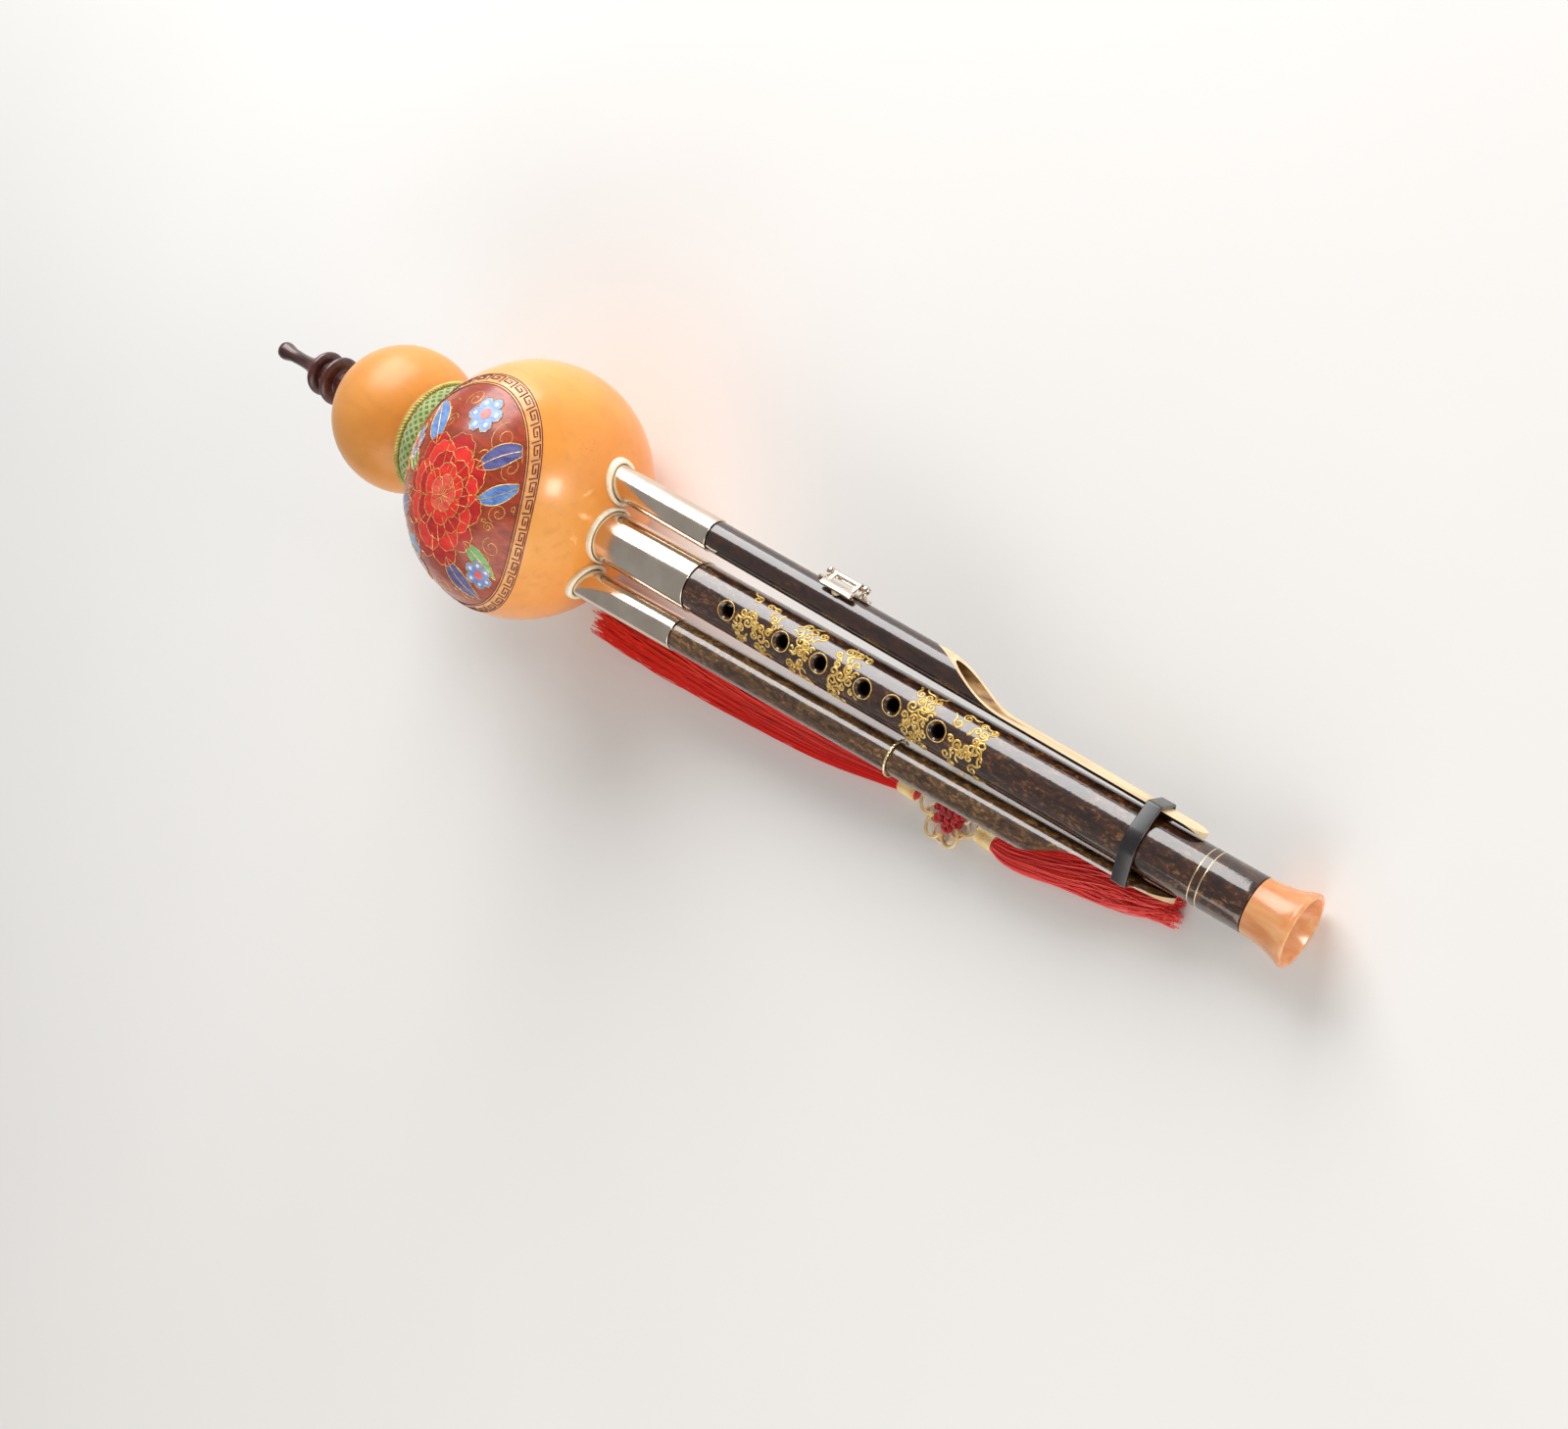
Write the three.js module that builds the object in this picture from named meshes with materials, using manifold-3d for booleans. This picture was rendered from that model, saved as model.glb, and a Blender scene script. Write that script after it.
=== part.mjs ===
// A hulusi, the gourd flute with free reeds: a gourd wind chest, a melody pipe with finger
// holes and a drone pipe on each side of it, with a silk tassel hung from the lower drone.
// Lengths are in millimetres. The instrument is built in its own frame, with its pipes along
// +X, its finger holes up and its origin where the melody pipe meets the gourd. It is then
// laid down on the plane z = 0, on its gourd and the rim of its horn.

import * as THREE from 'three';
import { mergeVertices } from 'three/addons/utils/BufferGeometryUtils.js';
import Module from 'manifold-3d';

const wasm = await Module();
wasm.setup();

// Fits
const seatGap = 0.3;
const slideGap = 0.3;
const cutOverrun = 3;
const mergeTolerance = 0.0001;

// Faces around each round piece
const gourdSides = 24;
const pipeSides = 24;
const droneSides = 20;
const smallSides = 16;
const roundSteps = 4;
const holeSides = 12;

// Gourd
const bigBulbRadius = 45;
const bigBulbLength = 76;
const smallBulbRadius = 26.5;
const smallBulbLength = 52;
const bulbSpacing = 65.2;
const waistRadius = 19.5;
const gourdWall = 3.6;
const gourdBottomInset = 1.8;
const neckRimRadius = 8;
const neckHoleRadius = 6.2;
const bulbRingStep = THREE.MathUtils.degToRad(15);

// Waist binding
const waistBandWidth = 6;
const waistBandDepth = 1.9;
const waistTrimRadius = 1;

// Melody pipe
const mainPipeRadius = 8.35;
const mainBoreRadius = 5.6;
const mainPipeEnd = 241.8;
const mainFerruleEnd = 39.2;
const mainFlangeRadius = 9.85;
const fingerHoleShares = [0.237, 0.33, 0.393, 0.464, 0.51, 0.579];
const thumbHoleShare = 0.2;
const ventHoleShares = [0.885, 0.912];
const fingerHoleRadius = 2.2;
const fingerDishRadius = 3;
const fingerDishDepth = 0.9;
const ringGrooveShares = [0.935, 0.945];
const ringGrooveWidth = 0.7;
const ringGrooveDepth = 0.25;

// Drone pipes
const dronePipeRadius = 5.15;
const droneBoreRadius = 3;
const droneSpacing = 17.6;
const droneLengthShare = 0.924;
const droneTipGap = 0.5;
const droneFlangeSetback = 1.4;
const droneFlangeRadius = 7.2;
const droneFerruleEnd = 39.5;
const quillThickness = 1.75;
const upperQuill = { startShare: 0.566, runLength: 30, facing: THREE.MathUtils.degToRad(88), tipLength: 4 };
const lowerQuill = { startShare: 0.763, runLength: 24, facing: THREE.MathUtils.degToRad(100), tipLength: 14 };
const quillCurveSteps = 10;

// Ferrules, flanges and the joints inside them
const ferruleProud = 0.4;
const ferruleWall = 0.8;
const ferruleInsertion = 9;
const flangeHeight = 1.5;
const flangeDepth = 9;
const tenonShorten = 31;
const tenonGap = 0.35;
const lappingWidth = 12;
const lappingDepth = 0.75;

// Reeds inside the gourd
const mainReedTubeLength = 52;
const droneReedTubeLength = 40;
const reedTubeWall = 1.5;
const reedTubeInFerrule = 7.4;
const reedSeatDepth = 0.8;
const reedPlateThickness = 0.6;
const reedPlateLength = 15;
const reedTipMargin = 6;
const reedKerf = 0.35;
const plugHeadThickness = 2;
const plugLength = 5;

// Horn
const hornLength = 13.9;
const hornRimRadius = 10.9;
const hornWall = 1.2;
const hornBoreRadius = 4.5;
const hornTenonLength = 9;
const hornLipLength = 1.2;
const hornFlareSteps = 5;
const hornFlarePower = 2.2;

// Mouthpiece
const mouthpieceLength = 46;
const mouthpieceBoreRadius = 1.5;
const mouthpieceTipRadius = 3.4;
const mouthpieceStemRadius = 2.5;
const nearDiscRadius = 9.1;
const farDiscRadius = 8.3;
const mouthpieceDiscThickness = 4;
const mouthpieceGrooveRadius = 5;
const mouthpieceBaseRadius = 7.4;
const mouthpieceTenonRadius = 5.4;
const mouthpieceTenonLength = 11;
const mouthCorkDepth = 0.7;
const mouthCorkLength = 6;

// Clamp band
const bandPlaceShare = 0.8445;
const bandWidth = 5.3;
const bandThickness = 0.9;
const bandOutlineSides = 40;

// Drone key
const keyPlaceShare = 0.404;
const keyFacing = THREE.MathUtils.degToRad(52);
const keySaddleLength = 20;
const keySaddleThickness = 0.7;
const keySaddleSpan = THREE.MathUtils.degToRad(34);
const keyRodAngle = THREE.MathUtils.degToRad(40);
const keyRodHeight = 3.2;
const keyRodRadius = 0.6;
const keyBallRadius = 1.45;
const keyPostRadius = 0.8;
const keyPostInset = 3.1;
const keyTubeRadius = 1.15;
const keyToneHoleRadius = 1.3;
const keyPadRadius = 1.9;
const keyPadThickness = 0.9;
const keyFlapLength = 13;
const keyFlapWidth = 4.2;
const keyFlapThickness = 0.8;
const keyNeckWidth = 2;

// Tassel
const wireRingShare = 0.575;
const wireRadius = 0.35;
const tasselCordDiameter = 1.4;
const tasselCordSides = 8;
const tasselCordSteps = 15;
const knotHalfSize = 10.5;
const knotThickness = 4.6;
const knotEarHeight = 1.3;
const knotEars = 8;
const knotOutlineSteps = 64;
const tasselHeadRadius = 2.9;
const tasselHeadLength = 8;
const strandRings = 9;
const strandSides = 28;
const strandFluteShare = 0.16;
const leftStrandSpread = 9;
const leftStrandHeight = 7;
const rightStrandSpread = 7;
const rightStrandHeight = 5;

// Routes laid by hand on the plane z = 0, in the laid frame
const knotCentre = new THREE.Vector3(96, -28.5, 0);
const tasselCordRoute = [
  new THREE.Vector3(85.5, -15.6, 18.8),
  new THREE.Vector3(85.5, -15.6, 16.7),
  new THREE.Vector3(85.4, -15.7, 13.8),
  new THREE.Vector3(85.2, -16, 10.6),
  new THREE.Vector3(84.8, -16.8, 7.4),
  new THREE.Vector3(84.3, -18.1, 4.4),
  new THREE.Vector3(83.9, -19.9, 2.1),
  new THREE.Vector3(84.1, -21.9, 0.95),
  new THREE.Vector3(85.4, -23.5, 0.75),
  new THREE.Vector3(87.3, -23.7, 0.75),
  new THREE.Vector3(89.1, -22.2, 0.75),
  new THREE.Vector3(90.5, -20.2, 0.75),
  new THREE.Vector3(91.7, -18.3, 0.8),
  new THREE.Vector3(93.1, -17, 0.95),
  new THREE.Vector3(94.6, -16.8, 1.1),
];
const leftStrandRoute = [
  new THREE.Vector3(50, -31, 0),
  new THREE.Vector3(15, -33.5, 0),
  new THREE.Vector3(-15, -34.8, 0),
  new THREE.Vector3(-44, -35.3, 0),
  new THREE.Vector3(-71, -35.3, 0),
];
const rightStrandRoute = [
  new THREE.Vector3(132, -26, 0),
  new THREE.Vector3(148, -21.5, 0),
  new THREE.Vector3(164, -17, 0),
  new THREE.Vector3(177, -13, 0),
];

// Workshop helpers

function volumeOf(geometry) {
  const position = geometry.getAttribute('position');
  const index = geometry.index.array;
  const a = new THREE.Vector3();
  const b = new THREE.Vector3();
  const c = new THREE.Vector3();
  let total = 0;
  for (let i = 0; i < index.length; i += 3) {
    a.fromBufferAttribute(position, index[i]);
    b.fromBufferAttribute(position, index[i + 1]);
    c.fromBufferAttribute(position, index[i + 2]);
    total += a.dot(b.cross(c)) / 6;
  }
  return total;
}

// Merges a geometry's shared vertices, drops its flat triangles and turns its faces out.
function closedBody(geometry) {
  const bare = new THREE.BufferGeometry();
  bare.setAttribute('position', geometry.getAttribute('position'));
  if (geometry.index) bare.setIndex(geometry.index);
  const merged = mergeVertices(bare, mergeTolerance);
  const corners = merged.index.array;
  const kept = [];
  for (let i = 0; i < corners.length; i += 3) {
    const [a, b, c] = [corners[i], corners[i + 1], corners[i + 2]];
    if (a !== b && b !== c && c !== a) kept.push(a, b, c);
  }
  merged.setIndex(kept);
  if (volumeOf(merged) < 0) merged.setIndex([...kept].reverse());
  return merged;
}

function solidOf(geometry) {
  const body = closedBody(geometry);
  const mesh = new wasm.Mesh({
    numProp: 3,
    vertProperties: Float32Array.from(body.getAttribute('position').array),
    triVerts: Uint32Array.from(body.index.array),
  });
  return new wasm.Manifold(mesh);
}

function geometryOf(solid) {
  const mesh = solid.getMesh();
  const geometry = new THREE.BufferGeometry();
  geometry.setAttribute('position', new THREE.BufferAttribute(mesh.vertProperties, mesh.numProp));
  geometry.setIndex(new THREE.BufferAttribute(mesh.triVerts, 1));
  return geometry;
}

function cut(body, ...tools) {
  return geometryOf(tools.reduce((left, tool) => left.subtract(solidOf(tool)), solidOf(body)));
}

function joined(body, ...others) {
  return geometryOf(others.reduce((sum, other) => sum.add(solidOf(other)), solidOf(body)));
}

// Turns a profile of [along, radius] points about the X axis, with a flat face at the bottom.
function turned(profile, sides) {
  const points = profile.map(([along, radius]) => new THREE.Vector2(radius, along));
  const geometry = new THREE.LatheGeometry(points, sides, Math.PI / sides);
  return closedBody(geometry.rotateZ(-Math.PI / 2));
}

function rod(radius, from, to, sides) {
  return turned([[from, 0], [from, radius], [to, radius], [to, 0]], sides);
}

function tube(inner, outer, from, to, sides) {
  return turned([[from, inner], [from, outer], [to, outer], [to, inner], [from, inner]], sides);
}

function box(from, to) {
  const size = new THREE.Vector3().subVectors(to, from);
  const middle = new THREE.Vector3().addVectors(from, to).multiplyScalar(0.5);
  return new THREE.BoxGeometry(size.x, size.y, size.z).translate(middle.x, middle.y, middle.z);
}

// A plug that stands up from the X axis along +Z, wider at its top end where it is a cone.
function upright(bottomRadius, topRadius, from, to, sides) {
  const cone = new THREE.CylinderGeometry(topRadius, bottomRadius, to - from, sides);
  return cone.rotateX(Math.PI / 2).translate(0, 0, (from + to) / 2);
}

// Extrudes an outline of [across, up] points, with holes, along +X from zero.
function extrudedAlong(outline, holes, length) {
  const shape = new THREE.Shape(outline);
  holes.forEach((hole) => shape.holes.push(new THREE.Path(hole)));
  const geometry = new THREE.ExtrudeGeometry(shape, { depth: length, bevelEnabled: false });
  return geometry.applyMatrix4(new THREE.Matrix4().makeBasis(
    new THREE.Vector3(0, 1, 0), new THREE.Vector3(0, 0, 1), new THREE.Vector3(1, 0, 0)));
}

// Extrudes an outline drawn in the XZ plane through a width along Y.
function extrudedAcross(outline, width) {
  const shape = new THREE.Shape(outline.map(([along, up]) => new THREE.Vector2(along, up)));
  const geometry = new THREE.ExtrudeGeometry(shape, { depth: width, bevelEnabled: false });
  return geometry.translate(0, 0, -width / 2).rotateX(Math.PI / 2);
}

function lerp(from, to, share) {
  return from + (to - from) * share;
}

function steps(count) {
  return Array.from({ length: count + 1 }, (unused, i) => i / count);
}

// Skins a row of closed rings that have the same number of points.
function lofted(rings) {
  const sides = rings[0].length;
  const positions = [];
  const index = [];
  rings.forEach((ring) => ring.forEach((point) => positions.push(point.x, point.y, point.z)));
  for (let i = 0; i + 1 < rings.length; i += 1) {
    for (let j = 0; j < sides; j += 1) {
      const next = (j + 1) % sides;
      const [a, b] = [i * sides + j, i * sides + next];
      index.push(a, b, a + sides, b, b + sides, a + sides);
    }
  }
  [0, rings.length - 1].forEach((row) => {
    const centre = new THREE.Vector3();
    rings[row].forEach((point) => centre.addScaledVector(point, 1 / sides));
    const hub = positions.length / 3;
    positions.push(centre.x, centre.y, centre.z);
    for (let j = 0; j < sides; j += 1) {
      const [a, b] = [row * sides + j, row * sides + ((j + 1) % sides)];
      if (row === 0) index.push(b, a, hub);
      else index.push(a, b, hub);
    }
  });
  const geometry = new THREE.BufferGeometry();
  geometry.setAttribute('position', new THREE.Float32BufferAttribute(positions, 3));
  geometry.setIndex(index);
  return closedBody(geometry);
}

// Finishes

const finishes = {
  gourd: { color: 0xe0933a, roughness: 0.25, metalness: 0 },
  binding: { color: 0x6f8f4a, roughness: 0.7, metalness: 0 },
  gold: { color: 0xd8b455, roughness: 0.4, metalness: 0.8 },
  ivory: { color: 0xefe2c6, roughness: 0.4, metalness: 0 },
  nickel: { color: 0xd9d4cc, roughness: 0.15, metalness: 1 },
  pipe: { color: 0x3b2314, roughness: 0.2, metalness: 0 },
  horn: { color: 0xe9b878, roughness: 0.25, metalness: 0 },
  rosewood: { color: 0x4a2320, roughness: 0.3, metalness: 0 },
  brass: { color: 0xc79a4b, roughness: 0.35, metalness: 1 },
  cork: { color: 0xb98b5c, roughness: 0.9, metalness: 0 },
  thread: { color: 0xd9cdb4, roughness: 0.9, metalness: 0 },
  leather: { color: 0x3a3130, roughness: 0.5, metalness: 0 },
  silk: { color: 0xc91a1a, roughness: 0.6, metalness: 0 },
};

function piece(name, geometry, finish) {
  const mesh = new THREE.Mesh(geometry, new THREE.MeshStandardMaterial(finishes[finish]));
  mesh.name = name;
  return mesh;
}

// Places that several pieces share

const bigBulbCentre = -(gourdBottomInset + bigBulbLength / 2);
const smallBulbCentre = bigBulbCentre - bulbSpacing;
const hornEnd = mainPipeEnd + hornLength;
const droneLength = droneLengthShare * mainPipeEnd;
const droneTipSpacing = mainPipeRadius + dronePipeRadius + droneTipGap;
const droneLean = Math.atan((droneSpacing - droneTipSpacing) / droneLength);
const mainFerruleRadius = mainPipeRadius + ferruleProud;
const droneFerruleRadius = dronePipeRadius + ferruleProud;

// The slope at which the gourd's lowest face and the horn's rim lie on one plane, and how far
// that plane is below the instrument's origin.
function restOnPlane() {
  const settleSteps = 40;
  const flatRadius = bigBulbRadius * Math.cos(Math.PI / gourdSides);
  const rimRadius = hornRimRadius * Math.cos(Math.PI / gourdSides);
  let slope = 0;
  let depth = flatRadius;
  for (let step = 0; step < settleSteps; step += 1) {
    const support = Math.hypot(bigBulbLength / 2 * Math.sin(slope), flatRadius * Math.cos(slope));
    depth = support * Math.cos(bulbRingStep / 2);
    const drop = depth - rimRadius * Math.cos(slope);
    slope = Math.asin(drop / (hornEnd - bigBulbCentre));
  }
  const faceAngle = Math.atan(bigBulbLength / 2 / flatRadius * Math.tan(slope));
  return { slope, faceAngle, height: depth + bigBulbCentre * Math.sin(slope) };
}

const rest = restOnPlane();

// A drone's own frame: its axis along +X, from its flange, leaning in towards the melody pipe.
function droneFrame(side) {
  const frame = new THREE.Matrix4().makeRotationZ(-side * droneLean);
  return frame.setPosition(-droneFlangeSetback, side * droneSpacing, 0);
}

// Gourd

function waistAngle(radius, inset) {
  return Math.acos((waistRadius - inset) / (radius - inset));
}

function bulbPoint(centre, length, radius, angle, inset) {
  const along = centre + (length / 2 - inset) * Math.sin(angle);
  return [along, (radius - inset) * Math.cos(angle)];
}

// The gourd's side view, drawn in by an inset: two bulbs that meet at a straight waist. One
// pair of rings on the big bulb bounds the flat face that the gourd lies on.
function gourdProfile(inset) {
  const profile = [];
  const smallWaist = waistAngle(smallBulbRadius, inset);
  const bigWaist = -waistAngle(bigBulbRadius, inset);
  const smallPoint = (angle) => bulbPoint(smallBulbCentre, smallBulbLength, smallBulbRadius, angle, inset);
  const bigPoint = (angle) => bulbPoint(bigBulbCentre, bigBulbLength, bigBulbRadius, angle, inset);
  profile.push([smallPoint(-Math.PI / 2)[0], 0]);
  for (let angle = bulbRingStep - Math.PI / 2; angle < smallWaist - bulbRingStep / 2; angle += bulbRingStep) {
    profile.push(smallPoint(angle));
  }
  profile.push(smallPoint(smallWaist));
  profile.push(bigPoint(bigWaist));
  const firstRing = Math.ceil((bigWaist - rest.faceAngle) / bulbRingStep - 0.5) + 0.5;
  for (let ring = firstRing; ; ring += 1) {
    const angle = rest.faceAngle + ring * bulbRingStep;
    if (angle > Math.PI / 2 - bulbRingStep / 3) break;
    if (angle > bigWaist + bulbRingStep / 3) profile.push(bigPoint(angle));
  }
  profile.push([bigPoint(Math.PI / 2)[0], 0]);
  return profile;
}

const smallBulbNeckShare = Math.sqrt(1 - (neckRimRadius / smallBulbRadius) ** 2);
const neckFace = smallBulbCentre - smallBulbLength / 2 * smallBulbNeckShare;

function socketCutter(radius) {
  return rod(radius + seatGap, -gourdBottomInset - flangeDepth - gourdWall - cutOverrun, cutOverrun, droneSides);
}

function gourdShell() {
  const outer = turned(gourdProfile(0), gourdSides);
  const hollow = turned(gourdProfile(gourdWall), smallSides);
  const neckTrim = rod(smallBulbRadius, neckFace - smallBulbLength, neckFace, gourdSides);
  const neckHole = rod(neckHoleRadius, neckFace - cutOverrun, neckFace + gourdWall + cutOverrun, smallSides);
  const sockets = [1, -1].map((side) => socketCutter(droneFerruleRadius).applyMatrix4(droneFrame(side)));
  return cut(outer, hollow, neckTrim, neckHole, socketCutter(mainFerruleRadius), ...sockets);
}

function waistMiddle() {
  const smallSide = bulbPoint(smallBulbCentre, smallBulbLength, smallBulbRadius,
    waistAngle(smallBulbRadius, 0), 0)[0];
  const bigSide = bulbPoint(bigBulbCentre, bigBulbLength, bigBulbRadius, -waistAngle(bigBulbRadius, 0), 0)[0];
  return (smallSide + bigSide) / 2;
}

function waistBand() {
  const inner = waistRadius + seatGap;
  const outer = waistRadius + waistBandDepth;
  const half = waistBandWidth / 2;
  const middle = waistMiddle();
  const crown = steps(roundSteps).map((share) => {
    const swing = Math.sin(share * Math.PI);
    return [middle + lerp(-half, half, share), lerp(lerp(inner, outer, 0.6), outer, swing)];
  });
  return turned([[middle - half, inner], ...crown, [middle + half, inner], [middle - half, inner]], pipeSides);
}

function waistTrim(side) {
  const along = waistMiddle() + side * (waistBandWidth / 2 + seatGap + waistTrimRadius);
  const across = waistRadius + seatGap + waistTrimRadius;
  const loop = steps(roundSteps + 2).map((share) => {
    const angle = share * 2 * Math.PI;
    return [along + waistTrimRadius * Math.cos(angle), across + waistTrimRadius * Math.sin(angle)];
  });
  return turned(loop, gourdSides);
}

// Flanges and ferrules

// A low rim round a ferrule, which follows the gourd's surface.
function flange(outerRadius, holeRadius, frame) {
  const ring = tube(holeRadius, outerRadius, -flangeDepth, cutOverrun, pipeSides);
  const under = solidOf(turned(gourdProfile(-seatGap), gourdSides));
  const over = solidOf(turned(gourdProfile(-seatGap - flangeHeight), gourdSides));
  const rim = solidOf(ring.applyMatrix4(frame)).intersect(over).subtract(under);
  return geometryOf(rim).applyMatrix4(frame.clone().invert());
}

function ferrule(pipeRadius, end) {
  const outer = pipeRadius + ferruleProud;
  const inner = outer - ferruleWall;
  const lip = ferruleWall / 3;
  return turned([
    [-ferruleInsertion, inner],
    [-ferruleInsertion, outer],
    [end - lip, outer],
    [end, outer - lip],
    [end, inner],
    [-ferruleInsertion, inner],
  ], pipeSides);
}

// A pipe's inner end, which slides in its ferrule, with a groove for its thread lapping.
function tenonProfile(pipeRadius, ferruleEnd) {
  const tenonRadius = pipeRadius + ferruleProud - ferruleWall - tenonGap;
  const start = ferruleEnd - tenonShorten;
  const middle = (start + ferruleEnd) / 2;
  return {
    start,
    tenonRadius,
    grooveRadius: tenonRadius - lappingDepth,
    grooveFrom: middle - lappingWidth / 2,
    grooveTo: middle + lappingWidth / 2,
  };
}

function pipeProfile(pipeRadius, boreRadius, ferruleEnd, pipeEnd, grooves) {
  const tenon = tenonProfile(pipeRadius, ferruleEnd);
  const shoulder = ferruleEnd + seatGap;
  return [
    [tenon.start, boreRadius],
    [tenon.start, tenon.tenonRadius],
    [tenon.grooveFrom, tenon.tenonRadius],
    [tenon.grooveFrom, tenon.grooveRadius],
    [tenon.grooveTo, tenon.grooveRadius],
    [tenon.grooveTo, tenon.tenonRadius],
    [shoulder, tenon.tenonRadius],
    [shoulder, pipeRadius],
    ...grooves,
    [pipeEnd, pipeRadius],
    [pipeEnd, boreRadius],
    [tenon.start, boreRadius],
  ];
}

function lapping(pipeRadius, ferruleEnd) {
  const tenon = tenonProfile(pipeRadius, ferruleEnd);
  const outer = pipeRadius + ferruleProud - ferruleWall - slideGap / 2;
  const inner = tenon.grooveRadius + seatGap;
  return tube(inner, outer, tenon.grooveFrom + seatGap, tenon.grooveTo - seatGap, droneSides);
}

// Melody pipe

function mainPipe() {
  const grooves = ringGrooveShares.flatMap((share) => {
    const middle = share * mainPipeEnd;
    const half = ringGrooveWidth / 2;
    return [
      [middle - half, mainPipeRadius],
      [middle, mainPipeRadius - ringGrooveDepth],
      [middle + half, mainPipeRadius],
    ];
  });
  const body = turned(
    pipeProfile(mainPipeRadius, mainBoreRadius, mainFerruleEnd, mainPipeEnd, grooves), pipeSides);
  const hole = (share) => upright(
    fingerHoleRadius, fingerHoleRadius, 0, mainPipeRadius + cutOverrun, holeSides,
  ).translate(share * mainPipeEnd, 0, 0);
  const dish = (share) => {
    const slope = (fingerDishRadius - fingerHoleRadius) / fingerDishDepth;
    const bottom = mainPipeRadius - fingerDishDepth;
    const top = mainPipeRadius + fingerDishDepth;
    const cone = upright(fingerHoleRadius, fingerHoleRadius + slope * (top - bottom), bottom, top, holeSides);
    return cone.translate(share * mainPipeEnd, 0, 0);
  };
  const front = fingerHoleShares.flatMap((share) => [hole(share), dish(share)]);
  const back = [thumbHoleShare, ...ventHoleShares].map((share) => hole(share).rotateX(Math.PI));
  return cut(body, ...front, ...back, dish(thumbHoleShare).rotateX(Math.PI));
}

function horn() {
  const start = mainPipeEnd + seatGap;
  const flareEnd = hornEnd - hornLipLength;
  const tenonRadius = mainBoreRadius - slideGap;
  const outside = steps(hornFlareSteps).map((share) => [
    lerp(start, flareEnd, share), lerp(mainPipeRadius, hornRimRadius, share ** hornFlarePower),
  ]);
  const inside = steps(hornFlareSteps).map((share) => [
    lerp(start, hornEnd, share), lerp(hornBoreRadius, hornRimRadius - hornWall, share ** hornFlarePower),
  ]).reverse();
  return turned([
    [start - hornTenonLength, hornBoreRadius],
    [start - hornTenonLength, tenonRadius],
    [start, tenonRadius],
    ...outside,
    [hornEnd, hornRimRadius],
    ...inside,
    [start - hornTenonLength, hornBoreRadius],
  ], gourdSides);
}

// Drone pipes

// What is cut away to leave a thin quill: all of the pipe above an S curve that starts at the
// pipe's far side and runs down to the quill's thickness.
function quillCutter(quill) {
  const start = quill.startShare * droneLength;
  const floor = quillThickness - dronePipeRadius;
  const top = dronePipeRadius + cutOverrun;
  const curve = steps(quillCurveSteps).map((share) => {
    const fall = (1 + Math.cos(share * Math.PI)) / 2;
    return [start + share * quill.runLength, lerp(floor, dronePipeRadius, fall)];
  });
  const end = droneLength + cutOverrun;
  const outline = [[start, top], ...curve, [end, floor], [end, top]];
  return extrudedAcross(outline, 2 * (dronePipeRadius + cutOverrun));
}

// Rounds the quill's tip in plan.
function tipCutter(quill) {
  const width = Math.sqrt(dronePipeRadius ** 2 - (dronePipeRadius - quillThickness) ** 2);
  const base = droneLength - quill.tipLength;
  const half = dronePipeRadius + cutOverrun;
  const arc = steps(quillCurveSteps).map((share) => {
    const angle = lerp(-Math.PI / 2, Math.PI / 2, share);
    return new THREE.Vector2(base + quill.tipLength * Math.cos(angle), width * Math.sin(angle));
  });
  const end = droneLength + cutOverrun;
  const shape = new THREE.Shape([
    new THREE.Vector2(base, -half), new THREE.Vector2(end, -half),
    new THREE.Vector2(end, half), new THREE.Vector2(base, half), ...arc.reverse(),
  ]);
  const slab = new THREE.ExtrudeGeometry(shape, { depth: 2 * half, bevelEnabled: false });
  return slab.translate(0, 0, -half);
}

function dronePipe(side, quill, extraCuts) {
  const body = turned(
    pipeProfile(dronePipeRadius, droneBoreRadius, droneFerruleEnd, droneLength, []), droneSides);
  const cutters = [quillCutter(quill), tipCutter(quill)].map((tool) => tool.rotateX(-side * quill.facing));
  return cut(body, ...cutters, ...extraCuts);
}

// Reeds

function reedTubeSizes(pipeRadius, length) {
  const outer = pipeRadius + ferruleProud - ferruleWall - seatGap;
  return {
    outer,
    inner: outer - reedTubeWall,
    from: -length,
    seat: outer - reedSeatDepth,
    plateWidth: 2 * Math.sqrt(outer ** 2 - (outer - reedSeatDepth) ** 2) - 2 * seatGap,
    plateMiddle: -length + reedTipMargin + reedPlateLength / 2,
  };
}

function reedTube(pipeRadius, length) {
  const size = reedTubeSizes(pipeRadius, length);
  const half = reedPlateLength / 2 + seatGap;
  const body = tube(size.inner, size.outer, size.from, reedTubeInFerrule, droneSides);
  const seat = box(
    new THREE.Vector3(size.plateMiddle - half, -size.outer, size.seat),
    new THREE.Vector3(size.plateMiddle + half, size.outer, size.outer + cutOverrun),
  );
  const windowLength = reedPlateLength / 3;
  const windowWidth = size.plateWidth / 4;
  const opening = box(
    new THREE.Vector3(size.plateMiddle - windowLength, -windowWidth, 0),
    new THREE.Vector3(size.plateMiddle + windowLength, windowWidth, size.outer + cutOverrun),
  );
  return cut(body, seat, opening);
}

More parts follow.
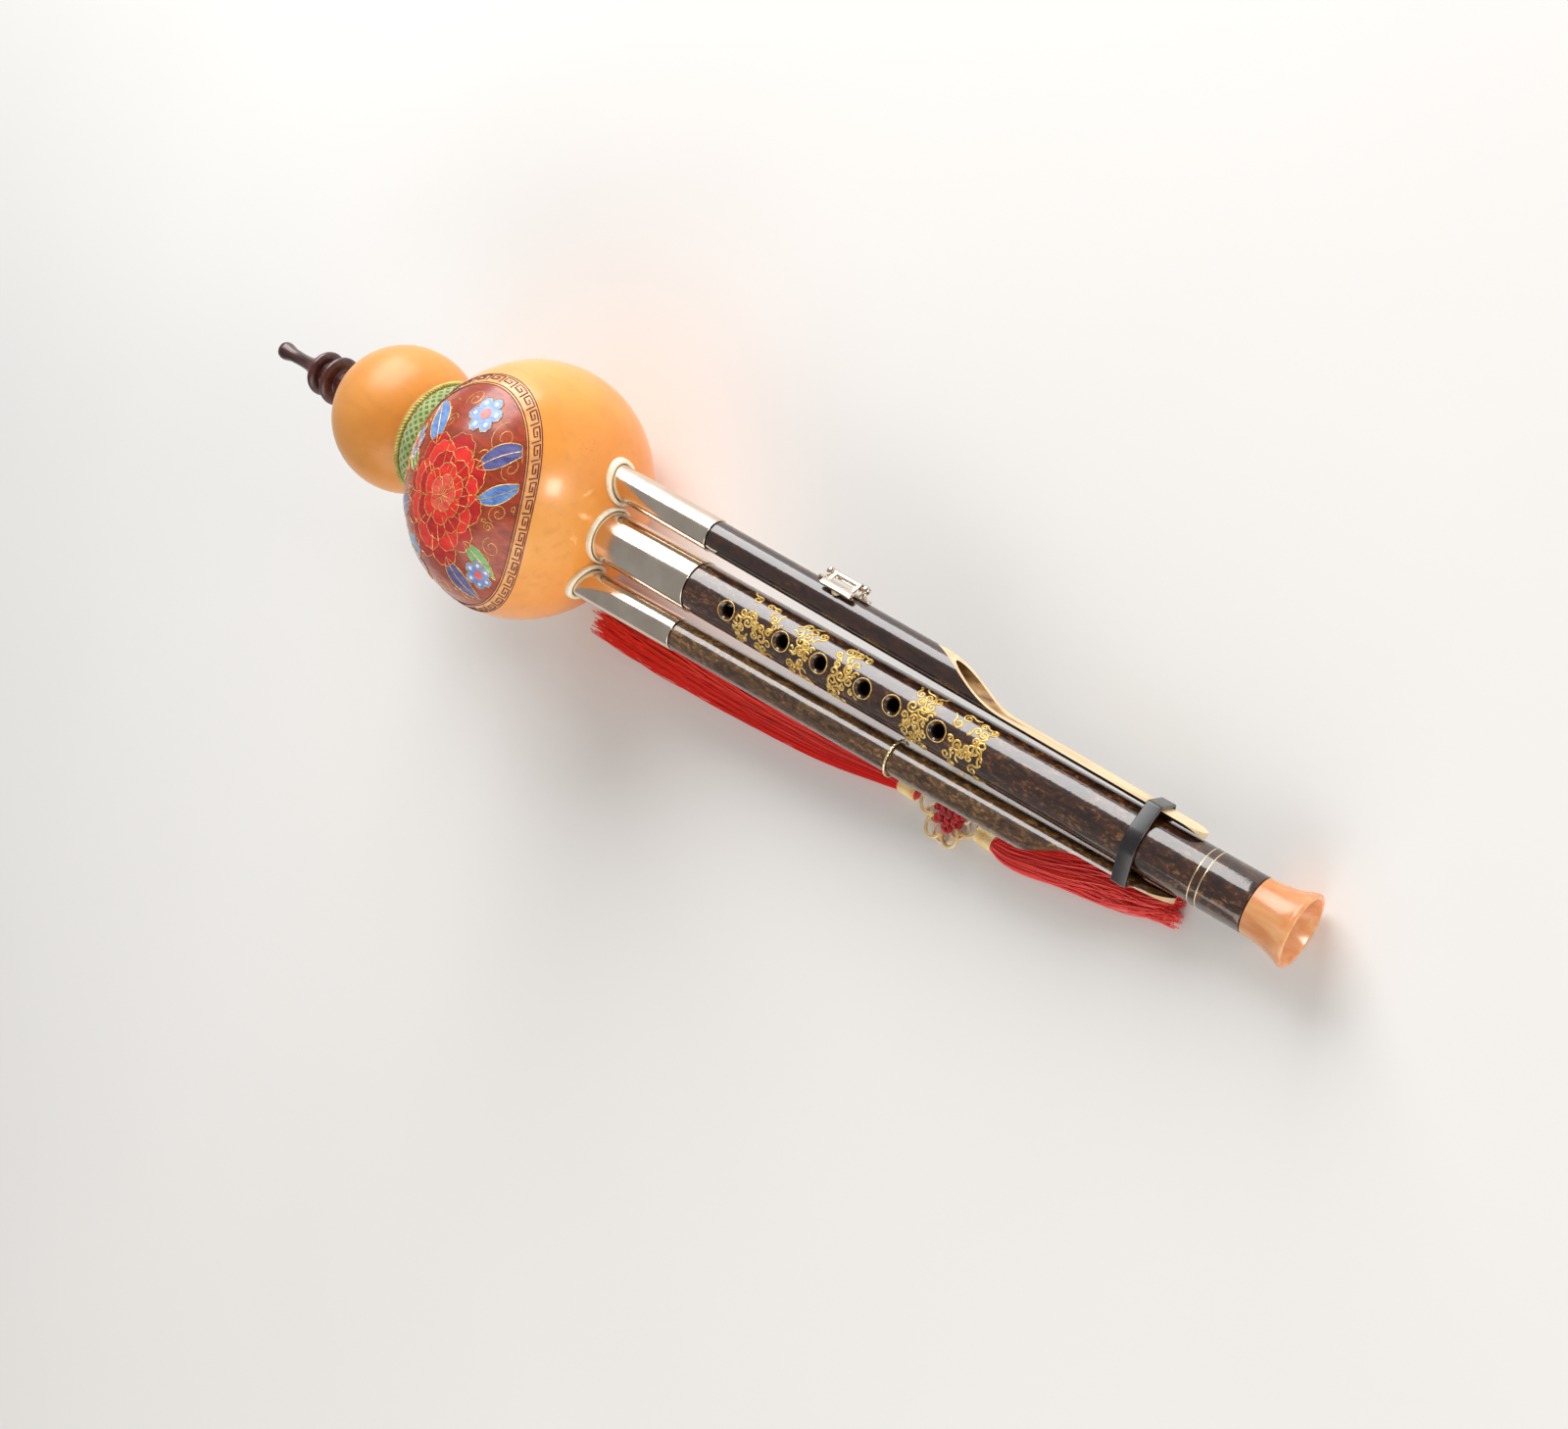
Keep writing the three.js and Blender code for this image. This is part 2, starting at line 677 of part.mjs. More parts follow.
// A brass plate with a pointed tongue that is cut free on two sides.
function reedPlate(pipeRadius, length) {
  const size = reedTubeSizes(pipeRadius, length);
  const bottom = size.seat + seatGap;
  const plate = box(
    new THREE.Vector3(size.plateMiddle - reedPlateLength / 2, -size.plateWidth / 2, bottom),
    new THREE.Vector3(size.plateMiddle + reedPlateLength / 2, size.plateWidth / 2, bottom + reedPlateThickness),
  );
  const reach = reedPlateLength / 3;
  const half = size.plateWidth / 4;
  const shape = new THREE.Shape([
    new THREE.Vector2(-reach, half), new THREE.Vector2(reach, 0),
    new THREE.Vector2(-reach, -half), new THREE.Vector2(-reach, -half + reedKerf),
    new THREE.Vector2(reach - reedKerf * reach / half, 0), new THREE.Vector2(-reach, half - reedKerf),
  ]);
  const kerf = new THREE.ExtrudeGeometry(shape, { depth: 2 * cutOverrun, bevelEnabled: false });
  return cut(plate, kerf.translate(size.plateMiddle, 0, bottom - cutOverrun));
}

function reedPlug(pipeRadius, length) {
  const size = reedTubeSizes(pipeRadius, length);
  const face = size.from - seatGap;
  return turned([
    [face - plugHeadThickness, 0],
    [face - plugHeadThickness, size.outer],
    [face, size.outer],
    [face, size.inner - seatGap],
    [size.from + plugLength, size.inner - seatGap],
    [size.from + plugLength, 0],
  ], droneSides);
}

// Mouthpiece

function disc(middle, radius) {
  const half = mouthpieceDiscThickness / 2;
  return steps(roundSteps).map((share) => {
    const angle = lerp(-Math.PI / 2, Math.PI / 2, share);
    const along = middle + half * Math.sin(angle);
    return [along, lerp(mouthpieceGrooveRadius, radius, Math.cos(angle))];
  });
}

function mouthpiece() {
  const base = neckFace - seatGap;
  const tip = base - mouthpieceLength;
  const near = base - 3.2 * mouthpieceDiscThickness;
  const far = near - 2 * mouthpieceDiscThickness;
  const stemTop = far - 1.5 * mouthpieceDiscThickness;
  const corkFrom = base + (mouthpieceTenonLength - mouthCorkLength) / 2;
  const corkTo = corkFrom + mouthCorkLength;
  const corkSeat = mouthpieceTenonRadius - mouthCorkDepth;
  return turned([
    [tip, mouthpieceBoreRadius],
    [tip, lerp(mouthpieceStemRadius, mouthpieceTipRadius, 0.8)],
    [lerp(tip, stemTop, 0.08), mouthpieceTipRadius],
    [lerp(tip, stemTop, 0.3), mouthpieceStemRadius],
    [lerp(tip, stemTop, 0.75), mouthpieceStemRadius],
    [stemTop, lerp(mouthpieceStemRadius, mouthpieceGrooveRadius, 0.4)],
    ...disc(far, farDiscRadius),
    ...disc(near, nearDiscRadius),
    [lerp(near, base, 0.6), mouthpieceGrooveRadius],
    [lerp(near, base, 0.85), lerp(mouthpieceGrooveRadius, mouthpieceBaseRadius, 0.5)],
    [base, mouthpieceBaseRadius],
    [base, mouthpieceTenonRadius],
    [corkFrom, mouthpieceTenonRadius],
    [corkFrom, corkSeat],
    [corkTo, corkSeat],
    [corkTo, mouthpieceTenonRadius],
    [base + mouthpieceTenonLength, mouthpieceTenonRadius],
    [base + mouthpieceTenonLength, mouthpieceBoreRadius],
    [tip, mouthpieceBoreRadius],
  ], droneSides);
}

function mouthCork() {
  const from = neckFace - seatGap + (mouthpieceTenonLength - mouthCorkLength) / 2 + seatGap;
  const inner = mouthpieceTenonRadius - mouthCorkDepth + seatGap;
  return tube(inner, neckHoleRadius - slideGap, from, from + mouthCorkLength - 2 * seatGap, droneSides);
}

// Clamp band round the melody pipe and both quills

// The corners of a quill's section at a place along the melody pipe, in the [across, up] plane.
function quillCorners(side, quill, along) {
  const spacing = droneSpacing - (along + droneFlangeSetback) * Math.tan(droneLean);
  const cutLevel = quillThickness - dronePipeRadius;
  const half = Math.sqrt(dronePipeRadius ** 2 - cutLevel ** 2);
  return [-half, half].map((reach) => new THREE.Vector2(
    side * (spacing + cutLevel * Math.sin(quill.facing) + reach * Math.cos(quill.facing)),
    cutLevel * Math.cos(quill.facing) - reach * Math.sin(quill.facing),
  ));
}

// A closed outline drawn tight round a circle and some corners, let out by a gap.
function tightOutline(radius, corners, gap) {
  const normals = steps(bandOutlineSides).slice(0, -1).map((share) => {
    const angle = (share + 0.5 / bandOutlineSides) * 2 * Math.PI;
    return new THREE.Vector2(Math.cos(angle), Math.sin(angle));
  });
  const reach = normals.map((normal) => Math.max(radius, ...corners.map((corner) => corner.dot(normal))) + gap);
  return normals.map((normal, i) => {
    const j = (i + 1) % normals.length;
    const turn = normal.cross(normals[j]);
    return new THREE.Vector2(
      (reach[i] * normals[j].y - reach[j] * normal.y) / turn,
      (reach[j] * normal.x - reach[i] * normals[j].x) / turn,
    );
  });
}

function clampBand() {
  const from = bandPlaceShare * mainPipeEnd;
  const corners = [...quillCorners(1, upperQuill, from), ...quillCorners(-1, lowerQuill, from)];
  const outside = tightOutline(mainPipeRadius, corners, slideGap + bandThickness);
  const inside = tightOutline(mainPipeRadius, corners, slideGap);
  return closedBody(extrudedAlong(outside, [inside], bandWidth).translate(from, 0, 0));
}

// Drone key, built with its tone hole up and then turned to face outwards

const keyRodAcross = (dronePipeRadius + keyRodHeight) * Math.sin(keyRodAngle);
const keyRodUp = (dronePipeRadius + keyRodHeight) * Math.cos(keyRodAngle);
const keyMiddle = keyPlaceShare * droneLength;
const keyFrom = keyMiddle - keySaddleLength / 2;
const keyTo = keyMiddle + keySaddleLength / 2;

function facingKey(geometry) {
  return geometry.rotateX(-keyFacing);
}

function keySaddle() {
  const inner = dronePipeRadius + seatGap;
  const outer = inner + keySaddleThickness;
  const hoop = tube(inner, outer, keyFrom, keyTo, pipeSides);
  const edges = [keyRodAngle - keySaddleSpan / 2, keyRodAngle + keySaddleSpan / 2];
  const corners = edges.map((angle) => new THREE.Vector2(Math.sin(angle), Math.cos(angle)));
  const wedge = [new THREE.Vector2(0, 0), ...corners.map((corner) => corner.multiplyScalar(2 * outer))];
  const sector = extrudedAlong(wedge, [], keySaddleLength + cutOverrun).translate(keyFrom - cutOverrun / 2, 0, 0);
  const plate = geometryOf(solidOf(hoop).intersect(solidOf(sector)));
  const posts = [keyFrom + keyPostInset, keyTo - keyPostInset].flatMap((along) => {
    const stem = upright(keyPostRadius, keyPostRadius, inner + keySaddleThickness / 2,
      dronePipeRadius + keyRodHeight, holeSides);
    const ball = new THREE.SphereGeometry(keyBallRadius, holeSides, roundSteps + 2);
    ball.rotateX(Math.PI / 2).translate(along, keyRodAcross, keyRodUp);
    return [stem.rotateX(-keyRodAngle).translate(along, 0, 0), ball];
  });
  const rodHole = rod(keyRodRadius + slideGap, keyFrom, keyTo, holeSides);
  const padSpace = upright(keyPadRadius + slideGap, keyPadRadius + slideGap, 0, outer + cutOverrun, smallSides);
  return facingKey(cut(joined(plate, ...posts), rodHole.translate(0, keyRodAcross, keyRodUp),
    padSpace.translate(keyMiddle, 0, 0)));
}

function keyRod() {
  const from = keyFrom + keyPostInset - keyBallRadius;
  const to = keyTo - keyPostInset + keyBallRadius;
  return facingKey(rod(keyRodRadius, from, to, holeSides).translate(0, keyRodAcross, keyRodUp));
}

function keyLever() {
  const from = keyFrom + keyPostInset + keyBallRadius + seatGap;
  const to = keyTo - keyPostInset - keyBallRadius - seatGap;
  const barrel = rod(keyTubeRadius, from, to, holeSides).translate(0, keyRodAcross, keyRodUp);
  const bottom = dronePipeRadius + seatGap + keyPadThickness + seatGap;
  const top = bottom + keyFlapThickness;
  const flap = box(
    new THREE.Vector3(keyMiddle - keyFlapLength / 2, -keyFlapWidth / 2, bottom),
    new THREE.Vector3(keyMiddle + keyFlapLength / 2, keyFlapWidth / 2, top),
  );
  const necks = [from, to - keyNeckWidth].map((start) => box(
    new THREE.Vector3(start, 0, bottom),
    new THREE.Vector3(start + keyNeckWidth, keyRodAcross, top),
  ));
  const bore = rod(keyRodRadius + slideGap, from - cutOverrun, to + cutOverrun, holeSides);
  const lever = joined(barrel, flap, ...necks);
  return facingKey(cut(lever, bore.translate(0, keyRodAcross, keyRodUp)));
}

function keyPad() {
  const bottom = dronePipeRadius + seatGap;
  const pad = upright(keyPadRadius, keyPadRadius, bottom, bottom + keyPadThickness, smallSides);
  return facingKey(closedBody(pad.translate(keyMiddle, 0, 0)));
}

function keyToneHole() {
  const hole = upright(keyToneHoleRadius, keyToneHoleRadius, 0, dronePipeRadius + cutOverrun, holeSides);
  return facingKey(hole.translate(keyMiddle, 0, 0));
}

// Tassel

function wireRing() {
  const along = wireRingShare * droneLength;
  const across = dronePipeRadius + seatGap + wireRadius;
  const loop = steps(roundSteps + 2).map((share) => {
    const angle = share * 2 * Math.PI;
    return [along + wireRadius * Math.cos(angle), across + wireRadius * Math.sin(angle)];
  });
  return turned(loop, droneSides);
}

function tasselCord() {
  const path = new THREE.CatmullRomCurve3(tasselCordRoute);
  const section = new THREE.Shape(steps(tasselCordSides).slice(0, -1).map((share) => {
    const angle = share * 2 * Math.PI;
    return new THREE.Vector2(Math.cos(angle), Math.sin(angle)).multiplyScalar(tasselCordDiameter / 2);
  }));
  const cord = new THREE.ExtrudeGeometry(section, { steps: tasselCordSteps, extrudePath: path });
  return closedBody(cord);
}

// The knot: a plump diamond of woven cord with small loops round its edge.
function knot() {
  const outline = steps(knotOutlineSteps).slice(0, -1).map((share) => {
    const angle = share * 2 * Math.PI;
    const diamond = knotHalfSize / (Math.abs(Math.cos(angle)) + Math.abs(Math.sin(angle)));
    const ear = knotEarHeight * Math.max(0, Math.cos(knotEars * angle));
    return new THREE.Vector2(Math.cos(angle), Math.sin(angle)).multiplyScalar(diamond + ear);
  });
  const body = new THREE.ExtrudeGeometry(new THREE.Shape(outline), { depth: knotThickness, bevelEnabled: false });
  return closedBody(body.translate(knotCentre.x, knotCentre.y, 0));
}

const knotReach = knotHalfSize + knotEarHeight;

function tasselHead(side) {
  const from = knotReach + seatGap;
  const lip = tasselHeadRadius / 4;
  const head = turned([
    [from, 0],
    [from, tasselHeadRadius - lip],
    [from + lip, tasselHeadRadius],
    [from + tasselHeadLength, tasselHeadRadius],
    [from + tasselHeadLength, 0],
  ], smallSides);
  if (side < 0) head.rotateZ(Math.PI);
  const height = tasselHeadRadius * Math.cos(Math.PI / smallSides);
  return head.translate(knotCentre.x, knotCentre.y, height);
}

// One bundle of silk strands, lying on the plane z = 0 along a route and fanning out.
function strandBundle(side, route, endHalfWidth, endHeight) {
  const reach = knotReach + tasselHeadLength + 2 * seatGap;
  const start = knotCentre.clone().setX(knotCentre.x + side * reach);
  const straight = start.clone().setX(start.x + side * 2 * tasselHeadRadius);
  const path = new THREE.CatmullRomCurve3([start, straight, ...route]);
  const rings = steps(strandRings).map((share) => {
    const centre = path.getPointAt(share);
    const along = path.getTangentAt(share);
    const across = new THREE.Vector3(-along.y, along.x, 0).normalize();
    const spread = Math.sqrt(share);
    const halfWidth = lerp(tasselHeadRadius, endHalfWidth, spread);
    const height = lerp(2 * tasselHeadRadius, endHeight, spread);
    return steps(strandSides).slice(0, -1).map((turn, i) => {
      const angle = turn * 2 * Math.PI;
      const flute = i % 2 === 0 ? 1 : 1 - strandFluteShare;
      const up = height / 2 * (1 + Math.sin(angle) * flute);
      return centre.clone().addScaledVector(across, halfWidth * Math.cos(angle) * flute).setZ(up);
    });
  });
  return lofted(rings);
}

// Assembly

function droneGroup(side) {
  const group = new THREE.Group();
  group.applyMatrix4(droneFrame(side));
  return group;
}

// A pipe's flange, ferrule, reed and lapping, which are alike on all three pipes.
function pipeFittings(name, pipeRadius, flangeRadius, ferruleEnd, reedLength, frame) {
  const holeRadius = pipeRadius + ferruleProud + seatGap;
  return [
    piece(`${name}_flange`, flange(flangeRadius, holeRadius, frame), 'ivory'),
    piece(`${name}_ferrule`, ferrule(pipeRadius, ferruleEnd), 'nickel'),
    piece(`${name}_lapping`, lapping(pipeRadius, ferruleEnd), 'thread'),
    piece(`${name}_reed_tube`, reedTube(pipeRadius, reedLength), 'brass'),
    piece(`${name}_reed`, reedPlate(pipeRadius, reedLength), 'brass'),
    piece(`${name}_reed_plug`, reedPlug(pipeRadius, reedLength), 'cork'),
  ];
}

const instrument = new THREE.Group();
instrument.add(
  piece('gourd_shell', gourdShell(), 'gourd'),
  piece('waist_band', waistBand(), 'binding'),
  piece('waist_trim_neck_side', waistTrim(-1), 'gold'),
  piece('waist_trim_pipe_side', waistTrim(1), 'gold'),
  piece('mouthpiece', mouthpiece(), 'rosewood'),
  piece('mouthpiece_cork', mouthCork(), 'cork'),
  ...pipeFittings('main', mainPipeRadius, mainFlangeRadius, mainFerruleEnd, mainReedTubeLength,
    new THREE.Matrix4()),
  piece('main_pipe', mainPipe(), 'pipe'),
  piece('horn', horn(), 'horn'),
  piece('clamp_band', clampBand(), 'leather'),
);

const upperDrone = droneGroup(1);
upperDrone.add(
  ...pipeFittings('upper', dronePipeRadius, droneFlangeRadius, droneFerruleEnd, droneReedTubeLength,
    droneFrame(1)),
  piece('upper_drone_pipe', dronePipe(1, upperQuill, [keyToneHole()]), 'pipe'),
  piece('key_saddle', keySaddle(), 'nickel'),
  piece('key_rod', keyRod(), 'nickel'),
  piece('key_lever', keyLever(), 'nickel'),
  piece('key_pad', keyPad(), 'leather'),
);

const lowerDrone = droneGroup(-1);
lowerDrone.add(
  ...pipeFittings('lower', dronePipeRadius, droneFlangeRadius, droneFerruleEnd, droneReedTubeLength,
    droneFrame(-1)),
  piece('lower_drone_pipe', dronePipe(-1, lowerQuill, []), 'pipe'),
  piece('wire_ring', wireRing(), 'gold'),
);

instrument.add(upperDrone, lowerDrone);
instrument.rotation.y = rest.slope;
const reach = new THREE.Box3().setFromObject(instrument, true).getCenter(new THREE.Vector3());
instrument.position.set(-reach.x, 0, rest.height);

const tassel = new THREE.Group();
tassel.add(
  piece('tassel_cord', tasselCord(), 'gold'),
  piece('tassel_knot', knot(), 'silk'),
  piece('tassel_head_left', tasselHead(-1), 'gold'),
  piece('tassel_head_right', tasselHead(1), 'gold'),
  piece('tassel_strands_left', strandBundle(-1, leftStrandRoute, leftStrandSpread, leftStrandHeight), 'silk'),
  piece('tassel_strands_right', strandBundle(1, rightStrandRoute, rightStrandSpread, rightStrandHeight), 'silk'),
);

const hulusi = new THREE.Group();
hulusi.add(instrument, tassel);

export default hulusi;
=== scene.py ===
"""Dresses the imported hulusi: smooth turned pieces, inlay, rope, silk and finishes.

Shapes are drawn in millimetres in the instrument's own frame, with its pipes along +X and its
finger holes up, and a place matrix lays them down in the shared frame, in metres.
"""

import math
import random

import bmesh
import bpy
from mathutils import Matrix, Vector
from mathutils.geometry import delaunay_2d_cdt


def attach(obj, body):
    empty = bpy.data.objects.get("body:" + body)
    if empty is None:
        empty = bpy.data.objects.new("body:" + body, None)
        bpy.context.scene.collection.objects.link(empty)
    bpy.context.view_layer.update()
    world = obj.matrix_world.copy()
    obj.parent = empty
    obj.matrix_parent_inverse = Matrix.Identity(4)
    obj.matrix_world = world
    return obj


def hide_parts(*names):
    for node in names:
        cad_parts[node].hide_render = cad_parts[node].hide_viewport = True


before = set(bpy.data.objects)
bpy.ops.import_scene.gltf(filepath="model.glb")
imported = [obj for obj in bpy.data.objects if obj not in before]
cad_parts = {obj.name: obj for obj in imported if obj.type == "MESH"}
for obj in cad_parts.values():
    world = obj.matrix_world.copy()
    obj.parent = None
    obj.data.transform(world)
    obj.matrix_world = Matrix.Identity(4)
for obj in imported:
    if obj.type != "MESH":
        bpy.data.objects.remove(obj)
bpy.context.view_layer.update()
scene = bpy.context.scene

# Sizes in millimetres. The horn's rim and the upper quill's tip differ a little from the solids'.
GOURD_SCALE = 0.9828
BIG_CENTRE, BIG_HALF, BIG_RADIUS = -39.8, 38.0, 45.0 * GOURD_SCALE
SMALL_CENTRE, SMALL_HALF, SMALL_RADIUS = -105.0, 26.0, 26.5 * GOURD_SCALE
WAIST_MIDDLE, WAIST_RADIUS, GOURD_WALL = -80.7, 19.5, 3.6
NECK_RIM, NECK_HOLE = 8.0, 6.2
SOCKET_FROM, SOCKET_TO, SOCKET_ROOM = -17.5, 3, 0.5
NECK_FACE = SMALL_CENTRE - SMALL_HALF * math.sqrt(1 - (NECK_RIM / 26.5) ** 2)
PIPE_END = 241.8
MAIN_RADIUS, MAIN_BORE, MAIN_FERRULE = 8.35, 5.6, 39.2
DRONE_RADIUS, DRONE_BORE, DRONE_FERRULE = 5.15, 3.0, 39.5
DRONE_LENGTH = 0.924 * PIPE_END
DRONE_SPACING, DRONE_SETBACK = 17.6, 1.4
DRONE_LEAN = math.atan((DRONE_SPACING - MAIN_RADIUS - DRONE_RADIUS - 0.5) / DRONE_LENGTH)
FERRULE_STEP, FERRULE_SEAT = 0.4, -9
TENON_LENGTH, TENON_GAP, LAPPING_HALF, LAPPING_DEPTH = 31, 0.35, 6, 0.75
FINGER_HOLES = [share * PIPE_END for share in (0.237, 0.33, 0.393, 0.464, 0.51, 0.579)]
THUMB_HOLE = 0.2 * PIPE_END
VENT_HOLES = [share * PIPE_END for share in (0.885, 0.912)]
RINGS = [share * PIPE_END for share in (0.935, 0.945)]
HOLE_RADIUS, DISH_RADIUS, DISH_DEPTH, HOLE_RIM, HOLE_CLEAR = 2.2, 3.0, 0.9, 3.15, 4.0
HORN_LENGTH, HORN_RIM, HORN_TENON, HORN_BORE = 13.9, 10.83, 9.0, 4.5
QUILL_THICKNESS, GROOVE_RADIUS = 1.75, 3.75
UPPER_QUILL = dict(start=0.566, run=30, facing=math.radians(88), tip=7)
LOWER_QUILL = dict(start=0.763, run=24, facing=math.radians(100), tip=14)
BAND_FROM, BAND_WIDTH, BAND_THICKNESS, BAND_CLEAR = 0.8445 * PIPE_END, 5.3, 0.9, 0.3
KEY_MIDDLE, KEY_LENGTH, KEY_POST_INSET, KEY_BALL = 0.404 * DRONE_LENGTH, 20.0, 3.1, 1.45
KEY_TONE_HOLE, KEY_PAD, KEY_PAD_THICKNESS, KEY_SEAT, KEY_PLATE = 1.3, 1.9, 0.9, 0.3, 0.7
KEY_PIN, KEY_PIN_HOLE, KEY_COLLAR, KEY_BARREL = 0.6, 0.85, 1.3, 1.15
KEY_FACING, KEY_ROD_ANGLE = math.radians(52), math.radians(40)
KEY_ROD_REACH = DRONE_RADIUS + 3.2
KEY_ACROSS = KEY_ROD_REACH * math.sin(KEY_ROD_ANGLE)
KEY_UP = KEY_ROD_REACH * math.cos(KEY_ROD_ANGLE)
WIRE_PLACE = 0.575 * DRONE_LENGTH
KNOT_CENTRE = Vector((96, -28.5, 0))
KNOT_REACH, KNOT_PITCH, KNOT_RUNS, KNOT_MIDDLE, KNOT_WEAVE = 11.8, 1.95, 4, 2.3, 0.78
HEAD_RADIUS, HEAD_LENGTH, HEAD_TURNS = 2.9, 8.0, 13
CORD_DIAMETER = 1.4
CORD_ROUTE = [
    (85.5, -15.6, 18.8), (85.5, -15.6, 16.7), (85.4, -15.7, 13.8), (85.2, -16, 10.6),
    (84.8, -16.8, 7.4), (84.3, -18.1, 4.4), (83.9, -19.9, 2.1), (84.1, -21.9, 0.95),
    (85.4, -23.5, 0.75), (87.3, -23.7, 0.75), (89.1, -22.2, 0.75), (90.5, -20.2, 0.75),
    (91.7, -18.3, 0.8), (93.1, -17, 0.95), (94.6, -16.8, 1.1),
]
LEFT_ROUTE = [(50, -31, 0), (15, -33.5, 0), (-15, -34.8, 0), (-44, -35.3, 0), (-71, -35.3, 0)]
RIGHT_ROUTE = [(132, -26, 0), (148, -21.5, 0), (164, -17, 0), (177, -13, 0)]

# Places
MILLIMETRES = Matrix.Scale(0.001, 4)
PITCH = math.radians(6.493488)
LAID = (
    Matrix.Translation((-0.03998239, 0, 0.03965461)) @ Matrix.Rotation(PITCH, 4, "Y") @ MILLIMETRES
)
UPRIGHT = Matrix.Rotation(-math.pi / 2, 4, "Y")


def along_by(distance):
    return Matrix.Translation((distance, 0, 0))


def drone_place(side):
    """The place of a drone pipe, whose axis leans in towards the melody pipe."""
    start = Matrix.Translation((-DRONE_SETBACK, side * DRONE_SPACING, 0))
    return LAID @ start @ Matrix.Rotation(-side * DRONE_LEAN, 4, "Z")


UPPER, LOWER = drone_place(1), drone_place(-1)
KEY = UPPER @ Matrix.Rotation(-KEY_FACING, 4, "X")


# Drawing helpers


def lerp(start, end, share):
    return start + (end - start) * share


def steps(count):
    return [i / count for i in range(count + 1)]


def round_about(count):
    return [2 * math.pi * i / count for i in range(count)]


def circle(along, radius, count):
    """Points round the X axis."""
    return [(along, radius * math.sin(a), radius * math.cos(a)) for a in round_about(count)]


def arc(middle, half, radius, start, end, cuts):
    """Profile points on an ellipse, from one angle to another."""
    angles = [lerp(start, end, share) for share in steps(cuts)]
    return [(middle + half * math.sin(a), radius * math.cos(a)) for a in angles]


def pin(start, end, radius):
    """The profile of a plain round bar."""
    return [(start, 0.0), (start, radius), (end, radius), (end, 0.0)]


def linked(name, data):
    piece = bpy.data.objects.new(name, data)
    scene.collection.objects.link(piece)
    return piece


def built(name, points, faces, place, finish, wrap=()):
    """A mesh from points and faces, with an optional UV map."""
    mesh = bpy.data.meshes.new(name)
    mesh.from_pydata([place @ Vector(p) for p in points], [], faces)
    mesh.materials.append(finish)
    if wrap:
        layer = mesh.uv_layers.new(name="wrap")
        for face, corners in zip(mesh.polygons, wrap):
            for loop, corner in zip(face.loop_indices, corners):
                layer.data[loop].uv = corner
    return linked(name, mesh)


def smoothed(piece, crease=32):
    """Turns the faces outwards, shades them smooth and keeps the sharp edges sharp."""
    body = bmesh.new()
    body.from_mesh(piece.data)
    bmesh.ops.recalc_face_normals(body, faces=body.faces)
    limit = math.radians(crease)
    for face in body.faces:
        face.smooth = True
    for edge in body.edges:
        edge.smooth = len(edge.link_faces) == 2 and edge.calc_face_angle(0) < limit
    body.to_mesh(piece.data)
    body.free()
    return piece


def baked(piece):
    """Turns a piece and its modifiers into one plain mesh."""
    depsgraph = bpy.context.evaluated_depsgraph_get()
    mesh = bpy.data.meshes.new_from_object(piece.evaluated_get(depsgraph))
    name = piece.name
    old = piece.data
    bpy.data.objects.remove(piece)
    if old.users == 0:
        (bpy.data.curves if isinstance(old, bpy.types.Curve) else bpy.data.meshes).remove(old)
    mesh.name = name
    return linked(name, mesh)


def carved(piece, *cutters, operation="DIFFERENCE"):
    """Cuts the cutters out of a piece, or joins them. A cut face takes its cutter's finish."""
    for cutter in cutters:
        cut = piece.modifiers.new("cut", "BOOLEAN")
        cut.operation = operation
        cut.solver = "EXACT"
        cut.material_mode = "TRANSFER"
        cut.object = cutter
    piece = baked(piece)
    for cutter in cutters:
        bpy.data.objects.remove(cutter)
    return piece


def seated(piece, body, slot, *nodes):
    """Says what a finished piece moves with and what it stands for. Its slot is not used."""
    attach(piece, body)
    if nodes:
        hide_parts(*nodes)
    return piece


def eased(profile, radius, closed=True):
    """Rounds the corners of a profile."""
    count = len(profile)
    rounded = []
    for i, corner in enumerate(profile):
        here = Vector(corner)
        before = Vector(profile[i - 1]) - here
        after = Vector(profile[(i + 1) % count]) - here
        reach = min(radius, 0.45 * before.length, 0.45 * after.length)
        doubled = before.length < 1e-6 or after.length < 1e-6
        if (not closed and i in (0, count - 1)) or doubled or before.angle(after) > 2.9:
            rounded.append(corner)
            continue
        start, end = here + before.normalized() * reach, here + after.normalized() * reach
        for share in steps(4):
            point = lerp(lerp(start, here, share), lerp(here, end, share), share)
            rounded.append((point.x, point.y))
    return rounded


def spaced(outline, step):
    """Adds points along an outline's long stretches."""
    fine = []
    for i, corner in enumerate(outline):
        start, end = Vector(corner), Vector(outline[(i + 1) % len(outline)])
        parts = max(1, round((end - start).length / step))
        fine += [tuple(lerp(start, end, k / parts)) for k in range(parts)]
    return fine


def ring_faces(rows, count, closed=True):
    """Faces between rings of points, from the last ring back to the first where they close."""
    faces = []
    for row in range(rows if closed else rows - 1):
        here, below = row * count, (row + 1) % rows * count
        for i in range(count):
            j = (i + 1) % count
            faces.append((here + i, here + j, below + j, below + i))
    return faces


